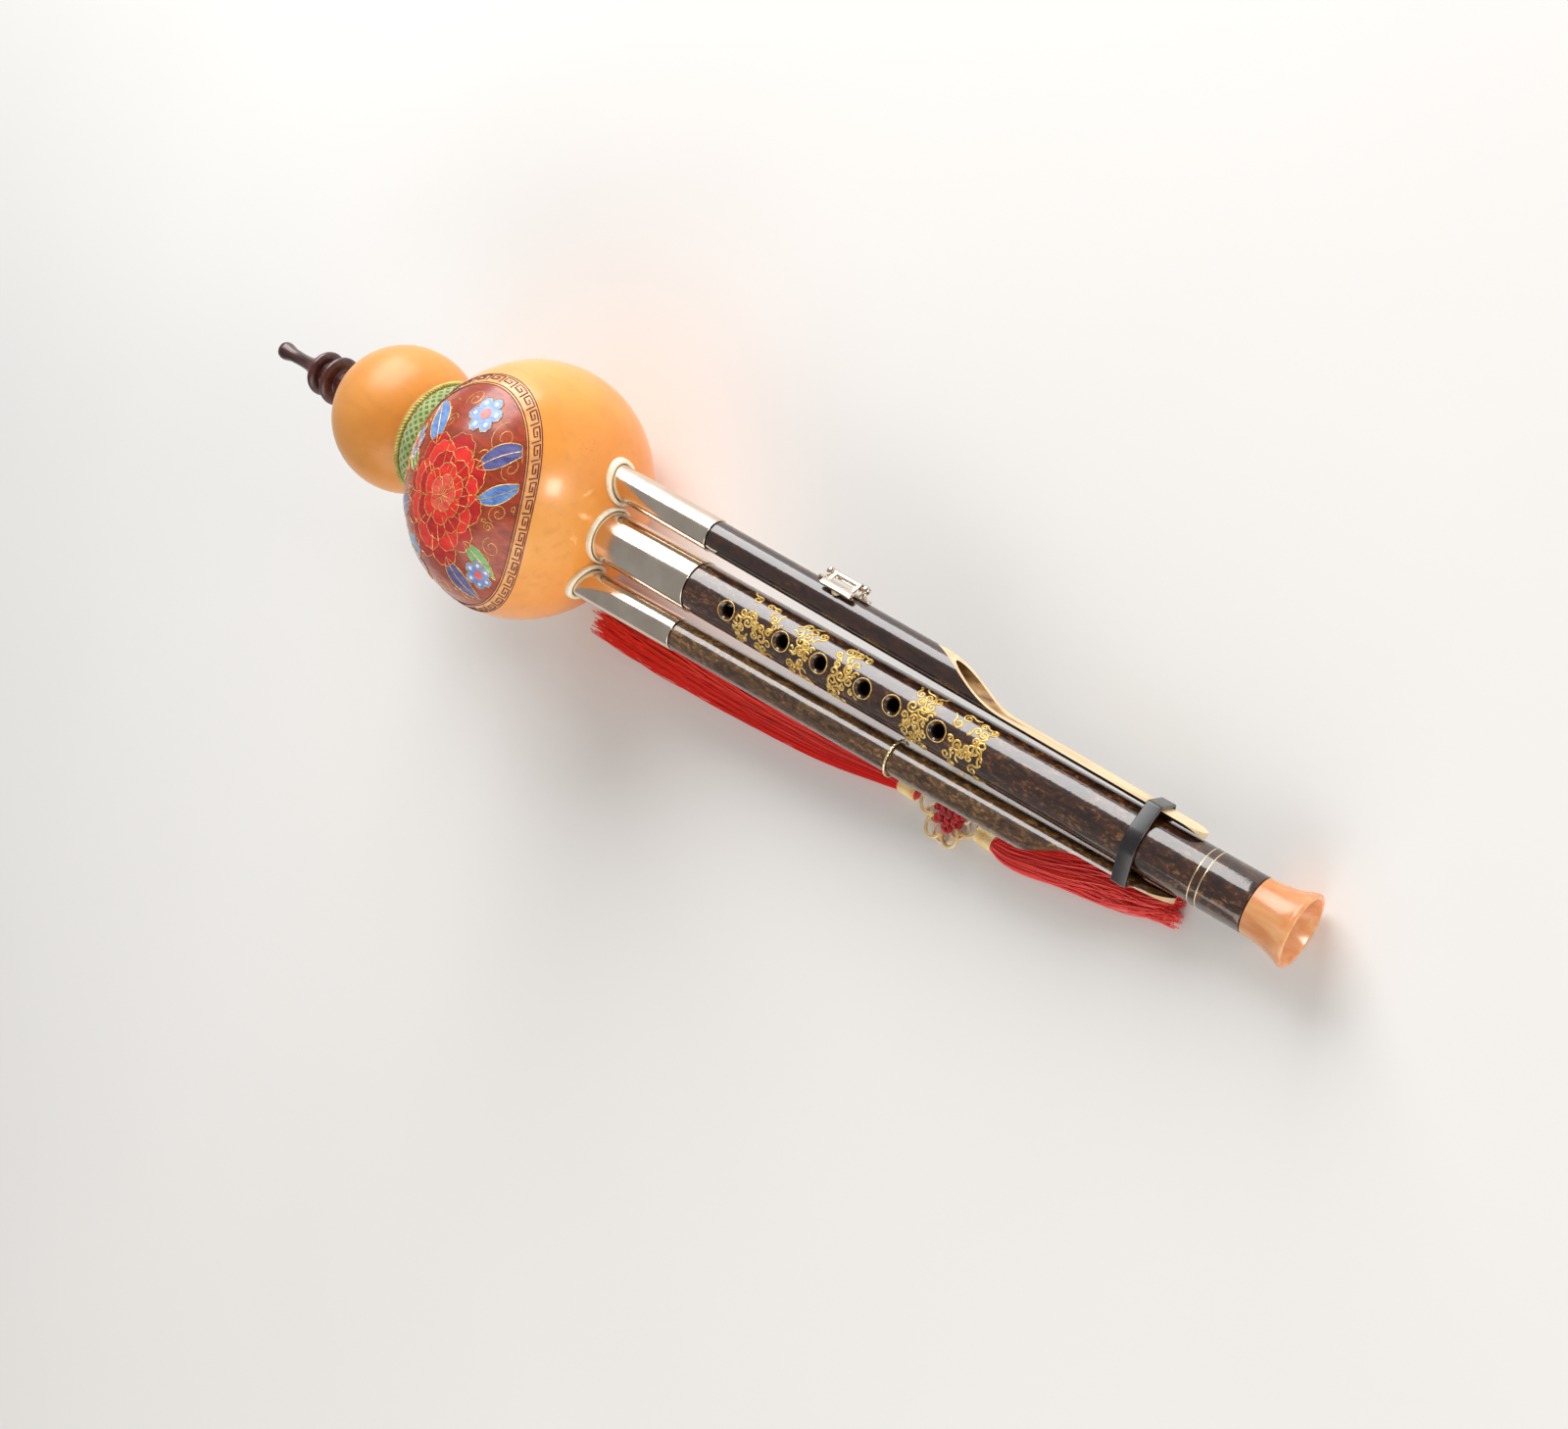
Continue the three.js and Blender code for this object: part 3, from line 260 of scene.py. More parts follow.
def turned(name, profile, place, finish, sides=96):
    """Turns a profile of (along, radius) points about the X axis. Its ends may be on the axis."""
    on_axis = profile[0][1] == 0 and profile[-1][1] == 0
    rows = profile[1:-1] if on_axis else profile
    points = [spot for along, radius in rows for spot in circle(along, radius, sides)]
    faces = ring_faces(len(rows), sides, not on_axis)
    run = [0.0]
    for i, row in enumerate(rows):
        run.append(run[-1] + (Vector(rows[(i + 1) % len(rows)]) - Vector(row)).length / 10)
    wrap = []
    for k in range(len(faces)):
        row, i = divmod(k, sides)
        corners = (i, row), (i + 1, row), (i + 1, row + 1), (i, row + 1)
        wrap.append([(u / sides, run[v]) for u, v in corners])
    if on_axis:
        for row, along in ((0, profile[0][0]), (len(rows) - 1, profile[-1][0])):
            for i in range(sides):
                faces.append((row * sides + i, row * sides + (i + 1) % sides, len(points)))
                wrap.append([(i / sides, 0), ((i + 1) / sides, 0), (i / sides, 0)])
            points.append((along, 0, 0))
    return smoothed(built(name, points, faces, place, finish, wrap))


def prism(name, outline, place, finish, low, high, axis=1):
    """A straight prism: the outline's two coordinates, drawn through low to high on one axis."""
    others = [k for k in range(3) if k != axis]
    count = len(outline)
    points = []
    for level in (low, high):
        for pair in outline:
            point = [0.0] * 3
            point[axis] = level
            point[others[0]], point[others[1]] = pair
            points.append(point)
    faces = [tuple(range(count)), tuple(range(count, 2 * count)), *ring_faces(2, count, False)]
    return smoothed(built(name, points, faces, place, finish))


def within(spot, outline):
    """Whether a spot lies inside an outline."""
    odd = False
    for (x1, y1), (x2, y2) in zip([outline[-1], *outline], outline):
        if (y1 > spot.y) != (y2 > spot.y) and spot.x < (x2 - x1) * (spot.y - y1) / (y2 - y1) + x1:
            odd = not odd
    return odd


def filled(outline, spacing):
    """Triangles that fill a flat outline, with a point about every spacing."""
    rim = [Vector(p) for p in outline]
    low = [min(p[k] for p in outline) for k in (0, 1)]
    counts = [int((max(p[k] for p in outline) - low[k]) / spacing) + 1 for k in (0, 1)]
    inside = []
    for i in range(counts[0]):
        for j in range(counts[1]):
            spot = Vector((low[0] + (i + 0.5) * spacing, low[1] + (j + 0.5) * spacing))
            if within(spot, outline) and min((spot - p).length for p in rim) > 0.4 * spacing:
                inside.append(spot)
    edges = [(i, (i + 1) % len(rim)) for i in range(len(rim))]
    points, _, faces, *_ = delaunay_2d_cdt(rim + inside, edges, [], 1, 1e-7)
    return points, faces


def plated(name, outlines, surface, low, high, place, finish, spacing):
    """Thin closed plates: flat outlines laid on a surface, from one height over it to another."""
    points, faces = [], []
    for outline in outlines:
        flat, triangles = filled(outline, spacing)
        base, count = len(points), len(flat)
        points += [surface(*p, level) for level in (high, low) for p in flat]
        uses = {}
        for face in triangles:
            faces.append(tuple(base + k for k in face))
            faces.append(tuple(base + count + k for k in reversed(face)))
            for pair in zip(face, [*face[1:], face[0]]):
                edge = tuple(sorted(pair))
                uses[edge] = None if edge in uses else pair
        for a, b in filter(None, uses.values()):
            faces.append((base + b, base + a, base + count + a, base + count + b))
    return smoothed(built(name, points, faces, place, finish), 50)


# Node trees


class Tree:
    """Adds nodes to a tree and links them by what is passed to each socket."""

    def __init__(self, tree):
        self.tree = tree

    def add(self, kind, *values, out=0, named=None, **settings):
        node = self.tree.nodes.new(kind)
        for key, value in settings.items():
            setattr(node, key, value)
        for socket, value in [*enumerate(values), *(named or {}).items()]:
            if isinstance(value, bpy.types.NodeSocket):
                self.tree.links.new(value, node.inputs[socket])
            elif value is not None:
                node.inputs[socket].default_value = value
        return node.outputs[out]

    def calc(self, operation, *values):
        return self.add("ShaderNodeMath", *values, operation=operation)

    def times(self, *values):
        return self.calc("MULTIPLY", *values)

    def plus(self, *values):
        return self.calc("ADD", *values)

    def vector(self, operation, *values, **named):
        return self.add("ShaderNodeVectorMath", *values, operation=operation, named=named)

    def axes(self, spot):
        return self.add("ShaderNodeSeparateXYZ", spot).node.outputs


def grower(name, **sockets):
    """A tree that grows something along curves, and what its named inputs give."""
    tree = bpy.data.node_groups.new(name, "GeometryNodeTree")
    for label, kind in {"Geometry": "Geometry", **sockets, "Material": "Material"}.items():
        tree.interface.new_socket(label, in_out="INPUT", socket_type="NodeSocket" + kind)
    tree.interface.new_socket("Geometry", in_out="OUTPUT", socket_type="NodeSocketGeometry")
    return Tree(tree), tree.nodes.new("NodeGroupInput").outputs


def swept(t, curves, profile, material):
    """Ends a tree: the profile swept along the curves, as one mesh in its material."""
    mesh = t.add("GeometryNodeCurveToMesh", curves, profile, named={"Fill Caps": True})
    whole = t.add("GeometryNodeRealizeInstances", mesh)
    finished = t.add("GeometryNodeSetMaterial", whole, None, material)
    t.tree.links.new(finished, t.tree.nodes.new("NodeGroupOutput").inputs[0])
    return t.tree


def rope_tree():
    """A round section, or a twisted one of some plies, along curves."""
    t, given = grower("rope", Radius="Float", Plies="Float", Groove="Float", Pitch="Float",
                      Sides="Int")
    ring = t.add("GeometryNodeCurvePrimitiveCircle", given["Sides"],
                 named={"Radius": given["Radius"]})
    spot = t.add("GeometryNodeInputPosition")
    x, y, _ = t.axes(spot)
    wave = t.calc("COSINE", t.times(t.calc("ARCTAN2", y, x), given["Plies"]))
    draw_in = t.times(t.calc("SUBTRACT", 1.0, wave), t.times(given["Groove"], 0.5))
    lobed = t.vector("SCALE", spot, Scale=t.calc("SUBTRACT", 1.0, draw_in))
    profile = t.add("GeometryNodeSetPosition", ring, None, lobed)
    length = t.add("GeometryNodeSplineParameter", out="Length")
    tilt = t.times(t.calc("DIVIDE", length, given["Pitch"]), 2 * math.pi)
    twisted = t.add("GeometryNodeSetCurveTilt", given["Geometry"], None, tilt)
    return swept(t, twisted, profile, given["Material"])


def strand_tree():
    """Silk strands along a route: each starts in the round head and fans out to its own place."""
    t, given = grower("silk_strands", Count="Int", Head="Float", Width="Float", Height="Float",
                      Thickness="Float", Wander="Float", Seed="Int")
    points = t.add("GeometryNodeMeshLine", given["Count"], mode="OFFSET",
                   named={"Offset": (0, 0, 0)})
    copies = t.add("GeometryNodeInstanceOnPoints", points, None, given["Geometry"])
    number = t.add("GeometryNodeInputIndex")

    def drawn(low, high, which, seed):
        """A random number. The node's inputs 2 and 3 and its output 1 are its plain numbers."""
        return t.add("FunctionNodeRandomValue", data_type="FLOAT", out=1,
                     named={2: low, 3: high, "ID": which, "Seed": seed})

    tone = drawn(0.0, 1.0, number, 3)
    for label, value, kind in (("strand", number, "INT"), ("tone", tone, "FLOAT")):
        copies = t.add("GeometryNodeStoreNamedAttribute", copies, None, label, value,
                       data_type=kind, domain="INSTANCE")
    loose = t.add("GeometryNodeRealizeInstances", copies)
    strand = t.add("GeometryNodeInputNamedAttribute", "strand", data_type="INT")

    def chance(low, high, shift):
        return drawn(low, high, strand, t.plus(given["Seed"], shift))

    turn = chance(0.0, 2 * math.pi, 1.0)
    reach = t.calc("SQRT", chance(0.0, 1.0, 2.0))
    across_share = t.times(t.calc("COSINE", turn), reach)
    up_share = t.calc("MULTIPLY_ADD", t.times(t.calc("SINE", turn), reach), 0.5, 0.5)
    along = t.add("GeometryNodeSplineParameter")
    spread = t.calc("SQRT", along)
    rest = t.calc("SUBTRACT", 1.0, spread)
    width = t.plus(t.times(given["Head"], rest), t.times(given["Width"], spread))
    height = t.plus(t.times(given["Head"], t.times(rest, 2.0)), t.times(given["Height"], spread))
    tangent = t.add("GeometryNodeInputTangent")
    sideways = t.vector("NORMALIZE", t.vector("CROSS_PRODUCT", (0, 0, 1), tangent))
    phase = t.plus(t.times(along, chance(7.0, 15.0, 3.0)), chance(0.0, 6.3, 4.0))
    sway = t.times(t.calc("SINE", phase), t.times(given["Wander"], along))
    aside = t.plus(t.times(across_share, width), sway)
    lift = t.calc("MAXIMUM", t.times(up_share, height), t.times(given["Thickness"], 1.2))
    raised = t.add("ShaderNodeCombineXYZ", 0.0, 0.0, lift)
    offset = t.vector("ADD", t.vector("SCALE", sideways, Scale=aside), raised)
    placed = t.add("GeometryNodeSetPosition", loose, None, None, offset)
    trimmed = t.add("GeometryNodeTrimCurve", placed, mode="FACTOR",
                    named={"End": chance(0.9, 1.0, 5.0)})
    thread = t.add("GeometryNodeCurvePrimitiveCircle", 3, named={"Radius": given["Thickness"]})
    return swept(t, trimmed, thread, given["Material"])


ROPE, STRANDS = rope_tree(), strand_tree()


def grown(name, lines, place, tree, finish, closed=False, **inputs):
    """Runs a tree on lines of (x, y, z) or (x, y, z, thickness share) points, as a plain mesh."""
    curves = bpy.data.curves.new(name, "CURVE")
    curves.dimensions = "3D"
    for line in lines:
        spline = curves.splines.new("POLY")
        spline.points.add(len(line) - 1)
        spline.use_cyclic_u = closed
        for point, spot in zip(spline.points, line):
            point.co = (*(place @ Vector(spot[:3])), 1)
            point.radius = spot[3] if len(spot) > 3 else 1
    piece = linked(name, curves)
    grow = piece.modifiers.new("grow", "NODES")
    grow.node_group = tree
    inputs["Material"] = finish
    for socket in tree.interface.items_tree:
        if socket.in_out == "INPUT" and socket.name in inputs:
            grow[socket.identifier] = inputs[socket.name]
    return smoothed(baked(piece), 60)


def roped(name, lines, place, finish, radius, sides=8, closed=False, plies=0, groove=0.0,
          pitch=1e3):
    """Round or twisted lines of a radius in millimetres."""
    return grown(name, lines, place, ROPE, finish, closed, Radius=radius / 1000,
                 Plies=float(plies), Groove=groove, Pitch=pitch / 1000, Sides=sides)


def curve_through(points, count):
    """A smooth line of points through given ones, as the part's source draws it."""
    marks = [Vector(p) for p in points]
    ends = [2 * marks[0] - marks[1], *marks, 2 * marks[-1] - marks[-2]]
    fine = []
    for a, b, c, d in zip(ends, ends[1:], ends[2:], ends[3:]):
        # centripetal spacing keeps the line from looping at close points
        t1, t2, t3 = (max((q - p).length, 1e-6) ** 0.5 for p, q in ((a, b), (b, c), (c, d)))
        m1 = ((b - a) / t1 - (c - a) / (t1 + t2) + (c - b) / t2) * t2
        m2 = ((c - b) / t2 - (d - b) / (t2 + t3) + (d - c) / t3) * t2
        cubic, square = 2 * b - 2 * c + m1 + m2, 3 * c - 3 * b - 2 * m1 - m2
        fine += [cubic * s ** 3 + square * s ** 2 + m1 * s + b for s in steps(12)[:-1]]
    fine.append(marks[-1])
    run = [0.0]
    for a, b in zip(fine, fine[1:]):
        run.append(run[-1] + (b - a).length)
    even, at = [], 0
    for share in steps(count - 1):
        goal = share * run[-1]
        while at < len(run) - 2 and run[at + 1] < goal:
            at += 1
        part = (goal - run[at]) / max(run[at + 1] - run[at], 1e-9)
        even.append(lerp(fine[at], fine[at + 1], part))
    return even, run[-1]


# Finishes

EVEN = (1, 1, 1)


def tint(code):
    """A colour's linear values from its hexadecimal code."""
    channels = [(code >> shift & 255) / 255 for shift in (16, 8, 0)]
    return (*[c / 12.92 if c <= 0.04045 else ((c + 0.055) / 1.055) ** 2.4 for c in channels], 1)


class Finish(Tree):
    """One material with its node tree, built from the surface pattern up."""

    def __init__(self, name):
        self.material = bpy.data.materials.new(name)
        self.material.use_nodes = True
        super().__init__(self.material.node_tree)
        self.tree.nodes.clear()

    def spot(self, where=EVEN):
        """Object coordinates, scaled by a triple or drawn out along the pipes by a number."""
        drawn_out = not isinstance(where, tuple)
        turn, size = ((0, -PITCH, 0), EVEN) if drawn_out else ((0, 0, 0), where)
        spot = self.add("ShaderNodeTexCoord", out="Object")
        spot = self.add("ShaderNodeMapping", spot, None, turn, size, vector_type="POINT")
        return self.vector("MULTIPLY", spot, (1 / where, 1, 1)) if drawn_out else spot

    def noise(self, where, scale, detail=4.0, rough=0.55, bend=0.0):
        named = {"Scale": scale, "Detail": detail, "Roughness": rough, "Distortion": bend}
        return self.add("ShaderNodeTexNoise", self.spot(where), named=named)

    def cells(self, scale, feature="F1"):
        return self.add("ShaderNodeTexVoronoi", self.spot(), named={"Scale": scale},
                        feature=feature)

    def ramp(self, share, *stops):
        """Colours, given as codes, or greys, given as shares, at their places along a share."""
        node = self.tree.nodes.new("ShaderNodeValToRGB")
        self.tree.links.new(share, node.inputs[0])
        marks = node.color_ramp.elements
        while len(marks) < len(stops):
            marks.new(0.5)
        for mark, (place, tone) in zip(marks, stops):
            mark.position = place
            mark.color = tint(tone) if isinstance(tone, int) else (tone, tone, tone, 1)
        return node.outputs[0]

    def band(self, share, low, high, least=0.0, most=1.0):
        """Least to most as a share goes from low to high."""
        return self.add("ShaderNodeMapRange", share, low, high, least, most)

    def veiled(self, shade, code, share, low, high, weight=1.0):
        """A shade under a second colour, where a pattern's share goes from low to high."""
        cover = self.times(self.band(share, low, high), weight)
        # the mix node's colours are its inputs 6 and 7 and its output 2
        return self.add("ShaderNodeMix", data_type="RGBA", out=2,
                        named={0: cover, 6: shade, 7: tint(code)})

    def bump(self, height, distance, strength, over=None):
        named = {"Height": height, "Distance": distance, "Strength": strength, "Normal": over}
        return self.add("ShaderNodeBump", named=named)

    def done(self, shade, rough, relief=None, coat=(0.0, 0.0), **sockets):
        """Ends the material. A coat is its weight and its roughness."""
        named = {key.replace("_", " "): value for key, value in sockets.items()}
        named |= {"Base Color": shade, "Roughness": rough, "Normal": relief}
        if coat[0]:
            named |= {"Coat Weight": coat[0], "Coat Roughness": coat[1]}
        shader = self.add("ShaderNodeBsdfPrincipled", named=named)
        output = self.tree.nodes.new("ShaderNodeOutputMaterial")
        self.tree.links.new(shader, output.inputs[0])
        return self.material


def worked(name, tone, stops, over=None, veil=None, rough=(0.5, 0.3), at=0.3,
           relief=(0.0001, 0.2), lead="over", **sockets):
    """A finish in the tones of one noise or attribute, under a veil of a second noise.

    The one that leads gives the roughness, from at to 1 - at, and the relief.
    """
    f = Finish(name)
    if isinstance(tone, str):
        tone = f.add("ShaderNodeAttribute", attribute_name=tone, out="Fac")
    else:
        tone = f.noise(*tone)
    leading = tone
    shade = f.ramp(tone, *stops)
    if over:
        over = f.noise(*over)
        shade = f.veiled(shade, veil[0], over, *veil[1:])
        leading = over if lead == "over" else tone
    return f.done(shade, f.ramp(leading, (at, rough[0]), (1 - at, rough[1])),
                  f.bump(leading, *relief), **sockets)


def gourd_lacquer():
    f = Finish("gourd_lacquer")
    along, _, height = f.axes(f.spot())
    clouds = f.noise(EVEN, 22, 3, 0.5, 0.4)
    fibres = f.noise(6, 260, 3, 0.6, 0.2)
    shade = f.ramp(clouds, (0.3, 0xE48B30), (0.52, 0xEE9D40), (0.72, 0xF4AE5A))
    # painted reflection: the colour turns a deeper orange towards the bottom, standing in for
    # orange light reflected up from below
    shade = f.veiled(shade, 0xF08E30, height, 0.06, 0.01, 0.75)
    # painted shade: the small bulb, towards the neck, is painted a duller tan, standing in for the
    # shade it lies in
    shade = f.veiled(shade, 0xCF9C5C, along, -0.125, -0.16, 0.55)
    shade = f.veiled(shade, 0xC98238, fibres, 0.5, 0.75, 0.3)
    spotted = f.band(f.noise(EVEN, 60), 0.5, 0.7)
    shade = f.veiled(shade, 0x8E4F1C, f.cells(420), 0.12, 0.02, spotted)
    relief = f.bump(f.noise(EVEN, 90, 2), 0.0004, 0.35)
    return f.done(shade, f.ramp(clouds, (0.3, 0.42), (0.7, 0.34)),
                  f.bump(fibres, 0.0001, 0.25, relief),
                  (f.band(along, -0.13, -0.112, 0.1, 0.45), 0.16), Subsurface_Weight=0.06,
                  Subsurface_Scale=0.004, Subsurface_Radius=(1.0, 0.5, 0.2))


def burl(name, dark, middle, gold, share):
    """Speckled pipe wood: clouds of light flecks in a dark ground, under a clear gloss."""
    f = Finish(name)
    clouds = f.noise(3, 90, 4, 0.6, 0.8)
    patches = f.noise(2.5, 420, 4, 0.65, 1.0)
    flecks = f.noise(1.8, 800, 4, 0.65, 0.6)
    grain = f.noise(18, 1400, 3, 0.6)
    crowd = f.band(f.plus(f.times(clouds, 0.5), f.times(patches, 0.5)),
                   0.62 - 0.22 * share, 0.74 - 0.2 * share)
    shade = f.ramp(patches, (0.36, dark), (0.6, middle))
    shade = f.veiled(shade, gold, flecks, 0.5, 0.6, f.times(crowd, 0.35 + 0.5 * share))
    shade = f.veiled(shade, 0xC8A070, flecks, 0.62, 0.72, f.times(crowd, 0.4 * share))
    shade = f.veiled(shade, dark, grain, 0.52, 0.72, 0.35)
    relief = f.bump(patches, 0.0002, 0.1)
    return f.done(shade, f.ramp(patches, (0.4, 0.34), (0.7, 0.26)),
                  f.bump(grain, 0.00005, 0.08, relief), (1.0, 0.06), Coat_IOR=1.68,
                  Specular_IOR_Level=0.2, Coat_Normal=f.bump(patches, 0.0003, 0.1))


def nickel():
    f = Finish("polished_nickel")
    lines, haze = f.noise(0.04, 300, 2, 0.5), f.noise(EVEN, 70, 3)
    # partly the metal's own tone, partly painted reflection: the warm tint stands in for warm
    # surroundings reflected in the metal
    return f.done(f.ramp(haze, (0.3, 0xD8C8B6), (0.7, 0xECDFCF)),
                  f.plus(f.times(haze, 0.16), f.times(lines, 0.1)),
                  f.bump(lines, 0.00003, 0.15), Metallic=1.0)


def leather(name, dark, light, crease):
    f = Finish(name)
    cells, wear = f.cells(2600, "DISTANCE_TO_EDGE"), f.noise(EVEN, 240)
    shade = f.veiled(f.ramp(wear, (0.35, dark), (0.7, light)), crease, cells, 0.1, 0.0)
    return f.done(shade, f.ramp(wear, (0.3, 0.42), (0.7, 0.3)),
                  f.bump(f.band(cells, 0.0, 0.2), 0.00006, 0.25), (1.0, 0.24),
                  Specular_IOR_Level=0.3)


def ribbon():
    """Woven ribbon: warp and weft threads, with a row of diamonds in darker thread."""
    f = Finish("woven_ribbon")
    round_it, over_it, _ = f.axes(f.add("ShaderNodeUVMap", uv_map="wrap"))
    around, across = f.times(round_it, 42.0), f.times(over_it, 3.4)
    slants = [f.band(f.calc("PINGPONG", f.calc(way, around, across), 0.5), 0.16, 0.24)
              for way in ("ADD", "SUBTRACT")]
    warp = f.calc("SINE", f.times(round_it, 420 * math.pi))
    weft = f.calc("SINE", f.times(over_it, 60 * math.pi))
    weave = f.times(warp, weft)
    shade = f.ramp(f.noise(EVEN, 120, 3), (0.35, 0x9CB060), (0.65, 0xC2CC82))
    shade = f.veiled(shade, 0x4E7A42, f.times(*slants), 0.0, 1.0)
    shade = f.veiled(shade, 0x8A7A34, weave, -0.2, -1.0, 0.25)
    return f.done(shade, f.ramp(weave, (0.2, 0.75), (0.8, 0.5)), f.bump(weave, 0.00015, 0.5),
                  Sheen_Weight=0.3)


def cork():
    f = Finish("cork")
    cells, pits = f.cells(900), f.noise(EVEN, 500)
    shade = f.ramp(cells, (0.1, 0xC79A68), (0.6, 0xA87845))
    return f.done(f.veiled(shade, 0x5A3A20, pits, 0.62, 0.72),
                  f.ramp(pits, (0.3, 0.9), (0.7, 0.75)), f.bump(pits, 0.0003, 0.6))


def waxed_thread():
    f = Finish("waxed_thread")
    turns = f.add("ShaderNodeTexWave", f.spot(1), named={"Scale": 500.0, "Distortion": 0.6},
                  bands_direction="X", out="Fac")
    return f.done(f.ramp(turns, (0.1, 0xA89A7C), (0.7, 0xE2D8C0)),
                  f.ramp(turns, (0.2, 0.8), (0.8, 0.6)), f.bump(turns, 0.0002, 0.6))


def bore(name, dark, light):
    """Raw wood inside a pipe, stained in mottled patches."""
    return worked(name, (3, 420), [(0.35, dark), (0.65, light)], rough=(0.7, 0.5),
                  relief=(0.0002, 0.4))


def gold_thread(name, light, dark):
    return worked(name, (EVEN, 300, 3), [(0.35, dark), (0.65, light)], (EVEN, 3200, 2, 0.6),
                  (dark, 0.5, 0.7, 0.4), (0.5, 0.32), 0.35, (0.00006, 0.4), Metallic=0.15,
                  Sheen_Weight=0.2)


def metal(name, light, dark, rough):
    return worked(name, (EVEN, 500), [(0.35, dark), (0.65, light)], rough=(rough + 0.14, rough),
                  relief=(0.00003, 0.2), Metallic=1.0)


def silk(name, light, middle, dark):
    return worked(name, (EVEN, 700, 4, 0.6), [(0.32, dark), (0.5, middle), (0.68, light)],
                  (EVEN, 4200, 2), (dark, 0.52, 0.7, 0.3), (0.5, 0.34), 0.35, (0.00004, 0.3),
                  Sheen_Weight=0.35, Anisotropic=0.4)


def strand_silk(light, middle, dark):
    """Loose silk: every strand has a tone of its own, with a fine twist in it."""
    return worked("strand_silk", "tone", [(0.0, dark), (0.3, middle), (0.75, light)],
                  ((0.25, 1, 1), 2600, 3), (middle, 0.5, 0.7, 0.25), (0.45, 0.3), 0.35,
                  (0.00003, 0.25), Sheen_Weight=0.3, Anisotropic=0.5)


def lacquer_paint(name, light, dark):
    """Painted ground under the gourd's clear lacquer, brushed in two tones."""
    return worked(name, ((1, 2.4, 1), 180, 4, 0.6, 0.8), [(0.35, dark), (0.62, light)],
                  (EVEN, 1500, 3), (dark, 0.55, 0.7, 0.25), (0.4, 0.3), lead="tone",
                  coat=(0.35, 0.14))


GOURD, NICKEL, RIBBON, CORK, THREAD = gourd_lacquer(), nickel(), ribbon(), cork(), waxed_thread()
BURL_MAIN = burl("burl_main", 0x1A0B06, 0x40200F, 0x8E5E34, 0.75)
BURL_UPPER = burl("burl_upper", 0x1C0C07, 0x381A0E, 0x6E4422, 0.3)
BURL_LOWER = burl("burl_lower", 0x301B0C, 0x5E4020, 0x967044, 0.85)
BORE, PALE_BORE = bore("bore_dark", 0x140B07, 0x4A3018), bore("bore_pale", 0x6E4A28, 0xC29A64)
QUILL = worked("quill_cream", (9, 240, 3), [(0.35, 0xD9B98A), (0.6, 0xEED7AE)],
               (22, 900, 3, 0.6), (0xB98D58, 0.5, 0.7, 0.4), (0.5, 0.36), relief=(0.0001, 0.3),
               coat=(0.3, 0.15))
IVORY = worked("ivory", ((1, 1, 3), 160, 4, 0.6, 0.8), [(0.35, 0xF0E0BE), (0.6, 0xFCF3E0)],
               rough=(0.4, 0.3), coat=(0.4, 0.1), Subsurface_Weight=0.15, Subsurface_Scale=0.002)
HORN = worked("horn_amber", (7, 190, 4, 0.6, 0.7),
              [(0.3, 0xCC7E44), (0.5, 0xD8935C), (0.72, 0xE4B07C)], (EVEN, 70, 3),
              (0xD68848, 0.45, 0.7, 0.4), (0.3, 0.2), relief=(0.0001, 0.15), lead="tone",
              coat=(0.4, 0.16), Subsurface_Weight=0.35, Subsurface_Scale=0.004,
              Subsurface_Radius=(1.0, 0.55, 0.25))
ROSEWOOD = worked("rosewood", (4, 220, 3, 0.5, 1.5),
                  [(0.35, 0x2A0F0C), (0.6, 0x5A2620), (0.75, 0x3A1713)],
                  (14, 900, 4, 0.65, 0.3), (0x1B0908, 0.5, 0.72, 0.6), (0.4, 0.28),
                  relief=(0.00008, 0.25), coat=(0.5, 0.12))
GILDING = worked("gilding", (EVEN, 900, 4, 0.6),
                 [(0.3, 0xA87A30), (0.5, 0xDDB45A), (0.7, 0xF6E2A0)], relief=(0.00008, 0.4),
                 coat=(0.3, 0.1), Metallic=0.55)
LEATHER = leather("band_leather", 0x120E11, 0x241E22, 0x0A0809)
PAD_LEATHER = leather("pad_leather", 0xC4AE88, 0xE0CFAC, 0xA8926C)
TRIM_THREAD = gold_thread("trim_thread", 0xE2DC80, 0xB4AE4A)
CORD_THREAD = gold_thread("cord_thread", 0xFFEDB6, 0xF6C676)
PALE_CORD = gold_thread("pale_cord", 0xFFF2DC, 0xFFD2A0)
WIRE = metal("brass_wire", 0xFAECC8, 0xE2C88C, 0.24)
BRASS = metal("drawn_brass", 0xD9B262, 0xA9803A, 0.3)
SILK = silk("red_silk", 0xF02A24, 0xD4161A, 0x96080E)
KNOT_SILK = silk("knot_silk", 0xE8222A, 0xCA141C, 0x880A12)
LOOSE_SILK = strand_silk(0xFF4A38, 0xFF2C26, 0xD2141A)
GROUND, BORDER_TAN, KEY_RED, CRIMSON, VERMILION, ROSE, SKY, INDIGO, JADE, PEARL = [
    lacquer_paint(*paint) for paint in (
        ("maroon_ground", 0xB0421E, 0x8A2C12), ("border_tan", 0xEEB06C, 0xDC9650),
        ("key_red", 0x7E1C14, 0x5A120E), ("crimson", 0xD2201E, 0xA81216),
        ("vermilion", 0xF43A2E, 0xDC2020), ("rose", 0xF26A58, 0xDC3A34),
        ("sky_blue", 0x7CA6DE, 0x4C74BE), ("indigo", 0x6A6CA8, 0x44427E),
        ("jade_green", 0x74B876, 0x3E8A4C), ("pearl_white", 0xF6F0E8, 0xE2D4C4),
    )
]


# Gourd


